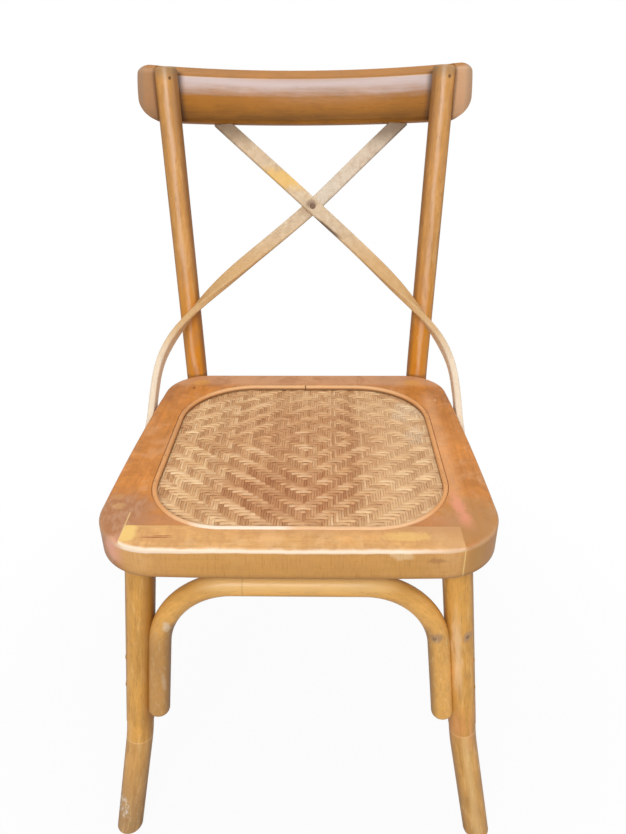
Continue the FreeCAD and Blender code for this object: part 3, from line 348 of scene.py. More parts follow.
def strap_grain(finish, name):
    low, high, stops = centre_line(name, 24)
    share = (finish.z - low) / (high - low)
    line = finish.ramp(share, stops)
    middle = finish.split(line)
    across = finish.x + 0.5 - middle[0]
    through = finish.y + 0.5 - middle[1]
    return across, through, finish.z


def wood(finish, grain, middle, dark=0.62, light=1.35, coarse=1.0):
    """Colour, roughness and height of lacquered wood along its grain, with tones about a middle one."""
    middle = tuple(middle)
    dark = tuple(level * dark for level in middle)
    light = tuple(min(1.0, level * light) for level in middle)
    lines = finish.noise(grain, (480 / coarse, 480 / coarse, 13), 6.0, 0.62, 0.3)
    bands = finish.noise(grain, (70 / coarse, 70 / coarse, 4), 3.0, 0.55, 0.7)
    stain = finish.grit((17, 17, 17), 4.0, 0.6)
    flecks = finish.noise(grain, (1100, 1100, 70), 2.0, 0.5)
    pores = flecks.fade(0.60, 0.74)
    figure = lines * 0.3 + bands * 0.3 + stain * 0.4
    colour = finish.ramp(figure, [(0.34, dark), (0.5, middle), (0.66, light)])
    grime = finish.noise(grain, (60, 60, 22), 5.0, 0.7, 0.4)
    colour = finish.mix(grime.fade(0.54, 0.68) * 0.35, colour, dark)
    colour = finish.mix(grime.fall(0.34, 0.45) * 0.4, colour, light)
    colour = finish.mix(pores * 0.5, colour, tuple(level * 0.55 for level in dark))
    rough = lines * 0.15 + stain * 0.12 + 0.27
    height = lines * 0.6 - pores * 0.5 + bands * 0.3
    return colour, rough, height


# Sizes and colours that a user would change


def colour_property(name, red, green, blue):
    return bpy.props.FloatVectorProperty(
        name=name, description=f"Middle tone of the {name.lower()}", subtype="COLOR", size=3,
        min=0.0, max=1.0, default=paint(red, green, blue),
    )


def length_property(name, description, metres):
    return bpy.props.FloatProperty(
        name=name, description=description, subtype="DISTANCE", unit="LENGTH", default=metres, min=0.0,
        precision=5,
    )


class ChairWoods(bpy.types.PropertyGroup):
    """Middle tones of the chair's woods."""

    rail: colour_property("Rail", 170, 110, 34)
    post: colour_property("Posts", 206, 148, 80)
    strap: colour_property("Straps", 219, 193, 158)
    side_board: colour_property("Side boards", 202, 128, 54)
    front_board: colour_property("Front board", 220, 166, 102)
    rear_board: colour_property("Rear board", 208, 156, 116)
    bead: colour_property("Bead", 216, 154, 96)
    leg: colour_property("Legs", 214, 156, 74)
    arch: colour_property("Arches", 218, 162, 84)


class ChairWeave(bpy.types.PropertyGroup):
    """Sizes of the woven seat."""

    across_pitch: length_property("Pitch across", "Spacing of the strands that run front to back", 0.0061)
    depth_pitch: length_property("Pitch in depth", "Spacing of the strands that run side to side", 0.0054)
    splints: bpy.props.IntProperty(
        name="Splints", description="Splints in each strand that runs front to back", default=2, min=1
    )
    cover: bpy.props.FloatProperty(
        name="Cover", description="Share of its space that a splint fills", default=0.96, min=0.1, max=1.0
    )
    thickness: length_property("Thickness", "Thickness of a splint", 0.0008)
    swing: length_property("Swing", "How far a strand moves up and down from the middle", 0.0009)
    run: bpy.props.IntProperty(
        name="Run", description="Strands that each strand passes over", default=3, min=1
    )
    middle_x: length_property("Middle, sideways", "Middle of the diamonds, to the right", 0.0046)
    middle_y: length_property("Middle, in depth", "Middle of the diamonds behind the seat's middle", 0.0233)
    seed: bpy.props.IntProperty(name="Seed", description="Seed of the strands' small differences", default=7)


class ChairStage(bpy.types.PropertyGroup):
    """Camera and light."""

    camera: bpy.props.FloatVectorProperty(
        name="Camera", description="Camera's place", subtype="TRANSLATION", size=3,
        default=(0.02895, -0.79661, 0.90133),
    )
    tilt: bpy.props.FloatProperty(
        name="Tilt", description="Camera's angle below the horizon", subtype="ANGLE",
        default=math.radians(28.8375), min=0.0, max=math.radians(90),
    )
    lens: bpy.props.FloatProperty(
        name="Lens", description="Focal length in millimetres", default=38.464, min=1.0
    )
    lamp: bpy.props.FloatProperty(
        name="Lamp", description="Power of the main lamp", subtype="POWER", default=34.0, min=0.0
    )
    sky: bpy.props.FloatProperty(
        name="Sky", description="Strength of the light from above", default=0.76, min=0.0
    )
    floor: colour_property("Floor", 205, 205, 205)


# Seat weave


def weave_tree(material, given):
    """Node group that weaves one set of strands, with an input for each setting, and its inputs by name."""
    group = bpy.data.node_groups.new("Weave", "GeometryNodeTree")
    group.interface.new_socket("Geometry", in_out="OUTPUT", socket_type="NodeSocketGeometry")
    inputs = {}
    for name, setting in given.items():
        kind = "NodeSocketInt" if isinstance(setting, int) else "NodeSocketFloat"
        inputs[name] = group.interface.new_socket(name, in_out="INPUT", socket_type=kind).identifier
    weave = Nodes(group)
    outputs = weave.node("NodeGroupInput").outputs

    def value(name):
        return Value(weave, outputs[name])

    def grow(kind, values, settings=None):
        return weave.node(f"GeometryNode{kind}", settings, values).outputs[0]

    def store(shape, name, number):
        """A shape whose points carry a number by name."""
        settings = {"domain": "POINT", "data_type": "FLOAT"}
        return grow("StoreNamedAttribute", {"Geometry": shape, "Name": name, "Value": number}, settings)

    # Rows of splints, each a line of points, one to a crossing, numbered from the diamonds' middle
    strands, samples, splints = value("Strands"), value("Samples"), value("Splints")
    line = grow("CurvePrimitiveLine", {"End": (1.0, 0.0, 0.0)})
    line = grow("ResampleCurve", {"Curve": line, "Count": samples * 2.0 + 1.0})
    places = grow("MeshLine", {
        "Count": (strands * 2.0 + 1.0) * splints, "Start Location": (0.0, 0.0, 0.0),
        "Offset": (0.0, 1.0, 0.0),
    }, {"mode": "OFFSET"})
    rows = store(places, "row", weave.number("GeometryNodeInputIndex") + 0.0)
    lines = grow("RealizeInstances", {
        "Geometry": grow("InstanceOnPoints", {"Points": rows, "Instance": line})
    })
    row = weave.number("GeometryNodeInputNamedAttribute", {"data_type": "FLOAT"}, {"Name": "row"})
    here = grow("InputPosition", {})
    middle = row + 0.25
    strand = (middle / splints).floor()
    number = strand - strands
    beside = (middle - strand * splints).floor() - (splints - 1.0) * 0.5
    step = ((weave.split(here)[0] * 2.0 - 1.0) * samples + 0.5).floor()

    # Over or under: diamonds about the middle, each as many strands wide as the run
    run, turned = value("Run"), value("Along Y")

    def ring(crossing):
        return ((abs(crossing) + abs(number)) / run).floor()

    def level(crossing):
        return ring(crossing).remainder(2.0) * 2.0 - 1.0

    rise = (level(step - 1.0) + level(step) * 2.0 + level(step + 1.0)) * 0.25 * (1.0 - turned * 2.0)

    # Each splint's own small shift and tone, and each float's
    def chance(low, high, number):
        return weave.number("FunctionNodeRandomValue", {"data_type": "FLOAT"}, {
            2: low, 3: high, "ID": number, "Seed": value("Seed") + turned * 50.0
        }, 1)

    float_number = row * 211.0 + ring(step) * 2.0 + step.over(0.0) + 3000.0
    tone = chance(0.0, 1.0, row + 900.0) * 0.45 + chance(0.0, 1.0, float_number) * 0.55
    shift = chance(-0.04, 0.04, row + 300.0)
    lift = value("Height") + rise * value("Swing") + (chance(0.0, 1.0, float_number + 7.0) - 0.5) * 0.00016
    along = step * value("Pitch")
    across = (number + (beside + shift) / splints) * value("Cross Pitch")
    x = value("Middle X") + along * (1.0 - turned) + across * turned
    y = value("Middle Y") + along * turned + across * (1.0 - turned)
    shape = grow("SetPosition", {"Geometry": lines, "Position": weave.join(x, y, lift)})

    # Trim to the rebate's rounded outline, whose corners widen to the rear
    x, y = weave.split(here)[:2]
    front, rear = value("Front"), value("Rear")
    share = (y - front) / (rear - front)
    corner = value("Front Corner") + share * (value("Rear Corner") - value("Front Corner"))
    outside = 0.0 - outline_distance(x, y, value("Half Width"), front, rear, corner)
    shape = grow("DeleteGeometry", {"Geometry": shape, "Selection": outside.over(0.0)}, {"domain": "POINT"})
    for name, number in (("tone", tone), ("lengthwise", turned), ("raised", rise * 0.5 + 0.5)):
        shape = store(shape, name, number)
    shape = grow("SetCurveNormal", {"Curve": shape}, {"mode": "Z_UP"})
    section = grow("CurvePrimitiveQuadrilateral", {
        "Width": value("Width"), "Height": value("Thickness")
    }, {"mode": "RECTANGLE"})
    section = grow("FilletCurve", {
        "Curve": section, "Radius": value("Thickness") * 0.45, "Limit Radius": True, "Count": 1
    }, {"mode": "POLY"})
    shape = grow("CurveToMesh", {"Curve": shape, "Profile Curve": section, "Fill Caps": True})
    shape = grow("SetShadeSmooth", {"Geometry": shape})
    shape = grow("RealizeInstances", {"Geometry": shape})
    shape = grow("SetMaterial", {"Geometry": shape, "Material": material})
    weave.node("NodeGroupOutput", None, {"Geometry": shape})
    return group, inputs


def grown(name, group, settings):
    """A plain mesh made by a node group."""
    mesh = bpy.data.meshes.new(name)
    maker = placed(f"{name}_maker", mesh)
    modifier = maker.modifiers.new("Nodes", "NODES")
    modifier.node_group = group
    for identifier, setting in settings.items():
        modifier[identifier] = setting
    bpy.context.view_layer.update()
    graph = bpy.context.evaluated_depsgraph_get()
    made = bpy.data.meshes.new_from_object(
        maker.evaluated_get(graph), preserve_all_data_layers=True, depsgraph=graph
    )
    bpy.data.objects.remove(maker)
    return made


def rattan_finish():
    """Peeled rattan with fine lines along each splint, browner in the middle of the seat."""
    finish = Finish("Rattan")
    x, y = finish.place[:2]

    def stored(name):
        return finish.number("Attribute", {"attribute_name": name}, None, "Fac")

    lengthwise, tone, raised = stored("lengthwise"), stored("tone"), stored("raised")
    across = y * (1.0 - lengthwise) + x * lengthwise
    along = x * (1.0 - lengthwise) + y * lengthwise
    lines = finish.noise((across, along, tone), (1300, 70, 40), 4.0, 0.7)
    patches = finish.noise((x, y, tone), (24, 24, 2), 5.0, 0.7)
    figure = lines * 0.55 + patches * 0.28 + tone * 0.17
    colour = finish.ramp(figure, [
        (0.3, paint(172, 118, 74)), (0.43, paint(212, 164, 114)), (0.57, paint(234, 196, 148)),
        (0.74, paint(252, 230, 194)),
    ])
    middle = finish.top_spot(0.0, -0.08, 0.135, 0.175, 0.8, 0.1)
    front = finish.top_spot(-0.02, -0.17, 0.1, 0.07, 0.8, 0.1)
    pale = finish.top_spot(0.142, 0.03, 0.026, 0.036, 2.4, 0.0)
    pale = pale.above(finish.top_spot(0.148, -0.035, 0.02, 0.036, 2.4, 0.0))
    # Painted shade where each strand dips under the next
    low = raised.fall(0.1, 0.8)
    # Painted highlights on the crests of the floats across
    crest = raised.fade(0.8, 1.0) * (1.0 - lengthwise)
    bright = patches.fade(0.52, 0.66) * tone.fade(0.2, 0.7)

    def shaded(share, shade):
        return finish.mix(share, colour, finish.mix(1.0, colour, shade, "MULTIPLY"))

    blotch = finish.grit((34, 30, 1), 3.0, 0.6).fade(0.42, 0.6)
    contrast = 0.12 + front * 0.55 + middle * 0.1 + blotch * 0.35
    colour = shaded(middle * 0.8, (0.86, 0.74, 0.68))
    colour = shaded(front * 0.5, (0.90, 0.78, 0.74))
    # Painted shade: strands that run front to back darker than those across
    colour = shaded(lengthwise * contrast, (0.78, 0.67, 0.60))
    # Painted shade at the ends of each float
    colour = shaded(low * 0.6, (0.68, 0.55, 0.46))
    colour = finish.mix(x.fade(0.05, 0.13) * 0.15, colour, paint(248, 216, 172))
    colour = finish.patches(colour, (
        # Painted highlights on the crests
        (crest * (bright * 0.4 + front * 0.5), 0.5, (246, 216, 178)),
        (pale * lines.fade(0.35, 0.6), 0.4, (238, 226, 200)),
    ))
    return finish.finish(colour, 0.42 + lines * 0.25, lines, 0.0003)


# Operators, one for each piece or group of like pieces


class MakingOperator(bpy.types.Operator):
    bl_options = {"REGISTER", "UNDO"}

    @property
    def woods(self):
        return bpy.context.scene.chair_woods


class CHAIR_OT_finish_rail(MakingOperator):
    """Finish the bowed top rail in honey brown lacquer"""

    bl_idname = "chair.finish_rail"
    bl_label = "Finish top rail"

    def execute(self, context):
        finish = Finish("Rail wood")
        grain = rail_grain(finish)
        across, through, along = grain
        places = [vertex.co for vertex in NODES["top_rail"].data.vertices]
        face = min(place.y - place.z * RAIL_LEAN + place.x ** 2 * RAIL_BOW for place in places)
        low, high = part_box("top_rail")
        colour, rough, height = wood(finish, grain, self.woods.rail, 0.68, 1.25)
        # Heights up the bowed front face, from the rail's lower edge
        up = (across - low.z) / (high.z - low.z - high.x ** 2 * RAIL_RISE)
        front = (through - face).fall(0.009, 0.014)
        level = up
        ripple = finish.noise((along, across, through), (14, 40, 5), 4.0, 0.6) * 0.22
        up = up + ripple + finish.noise((along, across, through), (8, 170, 5), 5.0, 0.7) * 0.24 - 0.23
        # Painted sheen: a pale band up the front face, below the arris
        sheen = up.fade(0.48, 0.8) * level.fall(0.85, 0.87) * front
        beyond = abs(along).fade(0.2, 0.206)
        # Painted shadow on the rail's face beside each post
        post = abs(along) - (across - low.z) * POST_SLOPE[0]
        beside = post.between(0.168, 0.1765, 0.005) + post.between(0.2, 0.2045, 0.002) * 0.7
        colour = finish.patches(colour, (
            # Painted shade: the front face darker towards its lower edge
            (up.fall(0.06, 0.44) * front, 0.8, (100, 62, 8)),
            (up.between(0.33, 0.55, 0.12) * front, 0.5, (166, 104, 16)),
            (sheen * (1.0 - beyond), 0.82, (218, 202, 200)),
            (level.fade(0.86, 0.88), 0.4, (188, 136, 86)),
            # Painted highlight along the arris
            (level.between(0.85, 0.87, 0.012) * front * (1.0 - beyond), 0.5, (240, 214, 190)),
            (beyond * front, 0.6, (186, 146, 112)),
            (along.fade(0.2, 0.206) * front, 0.4, (240, 196, 156)),
            (abs(along).fade(0.2155, 0.2245), 0.6, (150, 124, 102)),
            # Painted shadow beside the posts
            (beside * front, 0.75, (66, 38, 16)),
        ))
        rough = rough + sheen * 0.1
        dress(finish.finish(colour, rough + 0.12, height, 0.0002, 0.08), "top_rail")
        return {"FINISHED"}


class CHAIR_OT_finish_posts(MakingOperator):
    """Finish the two bent rear posts"""

    bl_idname = "chair.finish_posts"
    bl_label = "Finish rear posts"

    def execute(self, context):
        for name, side in (("left", -1.0), ("right", 1.0)):
            finish = Finish(f"Post wood {name}")
            y, z = finish.place[1:]
            grain = bent_grain(finish, side, POST_BEND_Z, POST_SLOPE, REAR_LEG_SLOPE)
            across, through, along = grain
            colour, rough, height = wood(finish, grain, self.woods.post, 0.74, 1.2, 0.8)
            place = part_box(f"rear_post_{name}")
            middle = across - side * POST_X
            # Painted highlight: a pale streak down the front of each post
            wave = (finish.noise((along, across, through), (14, 60, 60), 3.0) - 0.5) * 0.012
            highlight_streak = (middle + wave + side * 0.002).near(0.0005, 0.005)
            highlight_streak = highlight_streak * y.fall(place[0].y + 0.1, place[1].y + 0.1)
            top = z.fade(0.862, 0.878)
            blotch = finish.noise(grain, (70, 70, 16), 4.0, 0.7, 0.6)
            dot = -0.1825 if name == "left" else 0.1955
            colour = finish.patches(colour, (
                (z.fade(0.36, 0.46) * z.fall(0.5, 0.66), 0.85, (216, 138, 20)),
                (z.fall(0.36, 0.46), 0.5, (210, 146, 62)),
                (highlight_streak, 0.4, (238, 200, 168)),
                (blotch.fade(0.5, 0.62), 0.4, (182, 132, 88)),
                (blotch.fall(0.36, 0.46), 0.4, (232, 182, 120)),
                # Painted shade: each post darker at its sides. Each post is also darker below the seat's
                # top, where it meets the seat.
                (abs(middle).fade(0.0095, 0.0155), 0.6, (128, 78, 34)),
                (z.fall(0.459, 0.464), 0.5, (110, 66, 30)),
                (top, 0.55, (150, 124, 92)),
                (finish.front_spot(dot, 0.868, 0.0024, 0.0028, 0.6), 0.8, (84, 52, 30)),
            ))
            dress(finish.finish(colour, rough + 0.08, height, 0.0003, 0.12), f"rear_post_{name}")
        return {"FINISHED"}


class CHAIR_OT_finish_straps(MakingOperator):
    """Finish the pale crossed straps"""

    bl_idname = "chair.finish_straps"
    bl_label = "Finish cross straps"

    def execute(self, context):
        for name in ("cross_strap_front", "cross_strap_rear"):
            finish = Finish(f"Strap wood {name}")
            x, z = finish.x, finish.z
            grain = strap_grain(finish, name)
            edge = grain[0] * 0.68
            colour, rough, height = wood(finish, grain, self.woods.strap, 0.8, 1.16)
            blotch = finish.grit((110, 30, 110), 4.0, 0.7)
            if name == "cross_strap_rear":
                colour = finish.mix(x.fade(0.0, 0.02) * 0.6, colour, paint(222, 210, 194))
            patches = [
                (z.fade(0.72, 0.77), 0.25, (200, 168, 136)),
                (blotch.fade(0.5, 0.6), 0.4, (190, 158, 124)),
                (blotch.fall(0.36, 0.46), 0.4, (236, 216, 190)),
                (z.between(0.53, 0.65, 0.035), 0.65, (206, 156, 86)),
                (z.fall(0.5, 0.56), 0.75, (238, 220, 196)),
                # Painted shade: the top of each strap darker, under the rail
                (z.fade(0.77, 0.802), 0.8, (116, 92, 70)),
            ]
            if name == "cross_strap_front":
                patches += [
                    ((z + blotch * 0.02).between(0.735, 0.759, 0.007), 0.75, (238, 190, 98)),
                    (finish.front_spot(0.0085, 0.7045, 0.0105, 0.0075, 0.9, 0.0), 0.8, (128, 98, 76)),
                    (z.between(0.66, 0.684, 0.005) * edge.fall(-0.007, -0.0035), 0.8, (84, 60, 44)),
                ]
            colour = finish.patches(colour, patches)
            dress(finish.finish(colour, rough + 0.15, height, 0.0003, 0.05), name)
        return {"FINISHED"}


class CHAIR_OT_finish_seat_frame(MakingOperator):
    """Finish the four boards of the seat frame"""

    bl_idname = "chair.finish_seat_frame"
    bl_label = "Finish seat frame"

    def execute(self, context):
        finish = Finish("Board wood")
        x, y, z = finish.place
        spot = finish.top_spot
        edge = seat_edge(finish)
        # The front board reaches from one glue line to the other. The side boards' grain runs to the rear.
        middle, half = (JOINT_LEFT + JOINT_RIGHT) / 2, (JOINT_RIGHT - JOINT_LEFT) / 2
        beyond = abs(x - middle) - half
        face = edge.fall(0.001, 0.003) * y.fall(-0.262, -0.25)
        blur = face * 0.012 + 0.0005
        ends = (beyond / blur * 0.5 + 0.5).fall(0.0, 1.0)
        front = y.fall(JOINT_REAR - 0.0006, JOINT_REAR + 0.0006) * ends
        woods = self.woods
        side, side_rough, side_height = wood(finish, (x - y * 0.04, z, y), woods.side_board, 0.72, 1.3, 1.4)
        ahead, front_rough, front_height = wood(finish, (y, z, x), woods.front_board, 0.72, 1.2, 1.2)
        rear = y.fade(0.095, 0.112) * (0.35 + 0.65 * z.fade(0.45, 0.458))
        stain = finish.grit((26, 30, 30), 5.0, 0.7, 0.5)
        slant = x - 0.1775 + (y + 0.21) * 0.12
        mottle = finish.grit((120, 60, 60), 4.0, 0.7).fade(0.45, 0.62)
        pink_slant = (abs(slant) + mottle * 0.005).fall(0.002, 0.012)
        pink_slant = pink_slant * (y + x * 0.3).between(-0.176, -0.124, 0.016) * z.fade(0.452, 0.458)
        flecks = finish.grit((800, 1, 60), 4.0, 0.7).fade(0.5, 0.75)
        corner_left = spot(-0.196, -0.222, 0.05, 0.062, 1.0, 0.1)
        corner_right = spot(0.19, -0.232, 0.05, 0.06, 1.0, 0.1)
        side = finish.mix(rear * 0.7, side, tuple(woods.rear_board))
        side = finish.patches(side, (
            (mottle * (1.0 - rear), 0.25, (170, 104, 44)),
            (stain.fade(0.52, 0.64), 0.4, (218, 158, 108)),
            (stain.fall(0.38, 0.48), 0.4, (166, 98, 36)),
            (corner_left, 0.8, (166, 114, 78)),
            (corner_left * mottle, 0.4, (206, 160, 126)),
            (corner_right * mottle, 0.3, (214, 164, 120)),
            (corner_right, 0.75, (176, 128, 76)),
            (abs(x).between(0.08, 0.177, 0.01) * y.between(-0.234, -0.215, 0.006), 0.5, (188, 132, 92)),
            (face * x.fade(0.1, 0.15), 0.85, (180, 132, 68)),
            (x.between(0.168, 0.184, 0.008) * y.between(-0.19, 0.07, 0.03), 0.4, (230, 176, 128)),
            (spot(-0.157, 0.112, 0.016, 0.012, 1.0), 0.5, (228, 164, 70)),
            (spot(0.159, 0.112, 0.016, 0.012, 1.0), 0.5, (228, 164, 70)),
            (spot(-0.166, 0.0935, 0.003, 0.005, 0.5), 0.6, (96, 56, 28)),
            (spot(0.1862, 0.0556, 0.0016, 0.0014), 0.8, (250, 236, 210)),
            (spot(-0.1985, -0.2, 0.011, 0.007, 1.4, 0.0), 0.5, (214, 166, 108)),
            (spot(-0.203, -0.183, 0.009, 0.007, 1.4, 0.0), 0.4, (208, 156, 98)),
            (pink_slant, 0.7, (232, 150, 118)),
            (finish.spot((-0.186, -0.259, 0.447), (0.03, 0.024, 0.018), 0.8, 0.1), 0.85, (230, 164, 134)),
        ))
        ahead = finish.patches(ahead, (
            # Painted shade: the front face darker than the top
            (face, 0.7, (198, 142, 66)),
            (mottle * (1.0 - face), 0.5, (196, 142, 88)),
            (stain.fade(0.5, 0.6), 0.35, (200, 144, 84)),
            (stain.fall(0.4, 0.5) * (1.0 - face * 0.8), 0.3, (236, 190, 138)),
            (y.fade(-0.256, -0.236) * x.fade(-0.15, 0.0) * (1.0 - face), 0.7, (196, 142, 92)),
            (x.fade(0.11, 0.165) * (1.0 - face), 0.5, (200, 148, 96)),
            # Painted shade: darker towards the face's lower edge
            (z.fall(0.43, 0.452), 0.25, (180, 128, 56)),
            (spot(-0.177, -0.247, 0.012, 0.019, 0.9), 0.75, (244, 206, 122)),
            (spot(-0.146, -0.2536, 0.019, 0.0011, 1.6), 0.8, (140, 66, 34)),
            (spot(-0.139, -0.2512, 0.012, 0.0009, 1.6), 0.7, (150, 78, 40)),
            (spot(0.115, -0.25, 0.03, 0.009, 1.6), 0.45, (242, 200, 118)),
            (finish.spot((0.107, -0.2743, 0.4545), (0.014, 0.01, 0.008), 1.6), 0.45, (238, 208, 164)),
            (finish.spot((0.142, -0.2743, 0.4468), (0.011, 0.01, 0.004), 2.0), 0.4, (138, 86, 50)),
            (flecks * face, 0.55, (150, 96, 40)),
        ))
        colour = finish.mix(front, side, ahead)
        lines = beyond.near(0.0003, 0.0011) * y.fall(-0.2122, -0.2112)
        right, top = x.over(0.0), z.fade(0.455, 0.459)
        lines = lines * (right + top - right * top * 2.0)
        seam = (y - JOINT_REAR).near(0.0002, 0.0009) * beyond.fall(-0.001, 0.0)
        # Painted highlight along the top arris, wider to the left
        wear_and_highlight = (x * -9.0 - 0.6).above(0.0).below(1.0) * 0.0026
        wave = (finish.grit((40, 40, 1), 3.0, 0.6) - 0.5) * 0.002
        arris_highlight = (z + wave).between(0.4563 - wear_and_highlight, 0.4596, 0.0008) * edge.fall(0.004, 0.0065)
        ahead_arris = ends * y.fall(-0.262, -0.225) * (1.0 - x.fade(0.11, 0.165) * 0.6)
        colour = finish.patches(colour, (
            (lines, 0.55, (244, 212, 140)),
            (seam * (1.0 - x.fade(-0.1, 0.0) * 0.7), 0.3, (120, 74, 38)),
            (arris_highlight * ahead_arris, 0.72, (252, 234, 212)),
            (arris_highlight * (1.0 - ahead_arris), 0.25, (214, 180, 150)),
            # Painted shade along the boards' lower edge
            (z.fall(0.4215, 0.43), 0.5, (112, 68, 34)),
        ))
        rough = side_rough * (1.0 - front) + front_rough * front + 0.08
        height = side_height * (1.0 - front) + front_height * front
        material = finish.finish(colour, rough, height, 0.0002, 0.15)
        dress(material, "seat_side_rail_left", "seat_side_rail_right", "seat_front_rail", "seat_rear_rail")
        return {"FINISHED"}


class CHAIR_OT_finish_bead(MakingOperator):
    """Finish the bead round the weave"""

    bl_idname = "chair.finish_bead"
    bl_label = "Finish seat bead"

    def execute(self, context):
        finish = Finish("Bead wood")
        x, y, z = finish.place
        colour, rough, height = wood(finish, (z, z, x + y), self.woods.bead, 0.84, 1.12)
        colour = finish.patches(colour, (
            (y.fall(-0.235, -0.2), 0.6, (240, 200, 156)),
            (y.fade(0.05, 0.09), 0.6, (238, 192, 140)),
            (finish.top_spot(-0.06, -0.238, 0.065, 0.02, 0.8, 0.3), 0.75, (250, 232, 212)),
            # Painted shade: the bead darker low down, on its inner wall above the weave
            (z.fall(0.4568, 0.4592), 0.75, (96, 56, 28)),
            (x.near(0.0004, 0.0012) * y.fade(-0.01, 0.01), 0.8, (92, 56, 30)),
        ))
        dress(finish.finish(colour, rough + 0.1, height, 0.0002, 0.15), "seat_bead")
        return {"FINISHED"}


class CHAIR_OT_weave_seat(MakingOperator):
    """Weave the rattan seat in diamonds"""

    bl_idname = "chair.weave_seat"
    bl_label = "Weave seat"

    def execute(self, context):
        weave = bpy.context.scene.chair_weave
        settings = []
        for turned in (0.0, 1.0):
            pitch, cross_pitch, splints = weave.across_pitch, weave.depth_pitch, 1.0
            if turned:
                pitch, cross_pitch, splints = cross_pitch, pitch, float(weave.splints)
            settings.append({
                "Along Y": turned, "Pitch": pitch, "Cross Pitch": cross_pitch, "Splints": splints,
                "Width": cross_pitch / splints * weave.cover, "Thickness": weave.thickness,
                "Swing": weave.swing, "Run": float(weave.run),
                "Middle X": weave.middle_x, "Middle Y": SEAT_MIDDLE + weave.middle_y,
                "Half Width": (WEAVE_HIGH.x - WEAVE_LOW.x) / 2 - WEAVE_TRIM,
                "Front": WEAVE_LOW.y + WEAVE_TRIM, "Rear": WEAVE_HIGH.y - WEAVE_TRIM,
                "Front Corner": WEAVE_CORNER_FRONT, "Rear Corner": WEAVE_CORNER_REAR,
                "Height": (WEAVE_LOW.z + WEAVE_HIGH.z) / 2,
                "Strands": WEAVE_STRANDS, "Samples": WEAVE_STRANDS, "Seed": weave.seed,
            })
        group, inputs = weave_tree(rattan_finish(), settings[0])
        for given, name in zip(settings, ("rattan_weave_across", "rattan_weave_lengthwise")):
            mesh = grown("weave", group, {inputs[key]: setting for key, setting in given.items()})
            piece = placed(name, mesh)
            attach(piece, "root")
        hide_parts("rattan_seat_panel")
        return {"FINISHED"}


class CHAIR_OT_finish_legs(MakingOperator):
    """Finish the front legs and their feet"""

    bl_idname = "chair.finish_legs"
    bl_label = "Finish front legs"

    def execute(self, context):
        for name, side in (("left", -1.0), ("right", 1.0)):
            finish = Finish(f"Leg wood {name}")
            x, y, z = finish.place
            spot = finish.front_spot
            grain = bent_grain(finish, side, KNEE_Z, (-LEG_SLOPE[0], LEG_SLOPE[1]), FOOT_SLOPE)
            colour, rough, height = wood(finish, grain, self.woods.leg, 0.7, 1.22, 1.2)
            middle = grain[0] - side * LEG_AXIS[0]
            # The splice is cut square to the leg
            along = z - (x * side - LEG_AXIS[0]) * LEG_SLOPE[0] + (y - LEG_AXIS[1]) * LEG_SLOPE[1]
            ring = RING_LEFT if name == "left" else RING_RIGHT
            foot = along.fall(ring - 0.0005, ring + 0.0005)
            wear_and_highlight = z.fall(0.02, 0.13) * (1.0 if name == "left" else 0.35)
            chips = finish.grit((260, 260, 150), 4.0, 0.7)
            ragged = finish.noise(grain, (200, 200, 30), 4.0, 0.6)
            patches = [
                (foot, 0.4 if name == "left" else 0.15, (180, 138, 90)),
                (wear_and_highlight, 0.5, (150, 122, 92)),
                (wear_and_highlight * chips.fade(0.54, 0.7), 0.5, (206, 180, 150)),
                # Painted shade: each leg darker at its sides
                (abs(middle).fade(0.0105, 0.0165), 0.5, (132, 86, 36)),
                ((along - ring).near(0.0004, 0.0016), 0.55, (236, 190, 128)),
                (ragged.fade(0.54, 0.68), 0.35, (236, 194, 130)),
                (ragged.fall(0.34, 0.46), 0.35, (166, 110, 44)),
            ]
            if name == "left":
                patches += [
                    # Painted shade down the left leg's inner side
                    ((middle + ragged * 0.004).fade(0.004, 0.0135) * z.fade(0.15, 0.2), 0.6, (150, 96, 32)),
                    (spot(-0.228, 0.052, 0.011, 0.022, 1.5) * chips.fade(0.44, 0.6), 0.75, (226, 214, 198)),
                ]
            else:
                # Painted highlight: a pale streak down the right leg
                highlight_streak = (middle + 0.005 + (ragged - 0.5) * 0.016).near(0.001, 0.0075)
                patches += [
                    (highlight_streak * z.between(0.255, 0.345, 0.03), 0.5, (244, 208, 164)),
                    (spot(0.1885, 0.3255, 0.0075, 0.009, 1.0, 0.0), 0.6, (150, 124, 108)),
                    (spot(0.1885, 0.3255, 0.0028, 0.003, 0.8), 0.6, (92, 70, 58)),
                    (z.between(0.165, 0.215, 0.02) * ragged.fade(0.4, 0.6), 0.5, (216, 138, 84)),
                    # Painted highlight down the middle of the right foot
                    ((middle - 0.001).near(0.001, 0.008) * foot, 0.35, (240, 204, 144)),
                ]
            colour = finish.patches(colour, patches)
            material = finish.finish(colour, rough + wear_and_highlight * 0.2, height, 0.0003, 0.12)
            dress(material, f"front_leg_{name}", f"front_leg_foot_{name}")
        return {"FINISHED"}


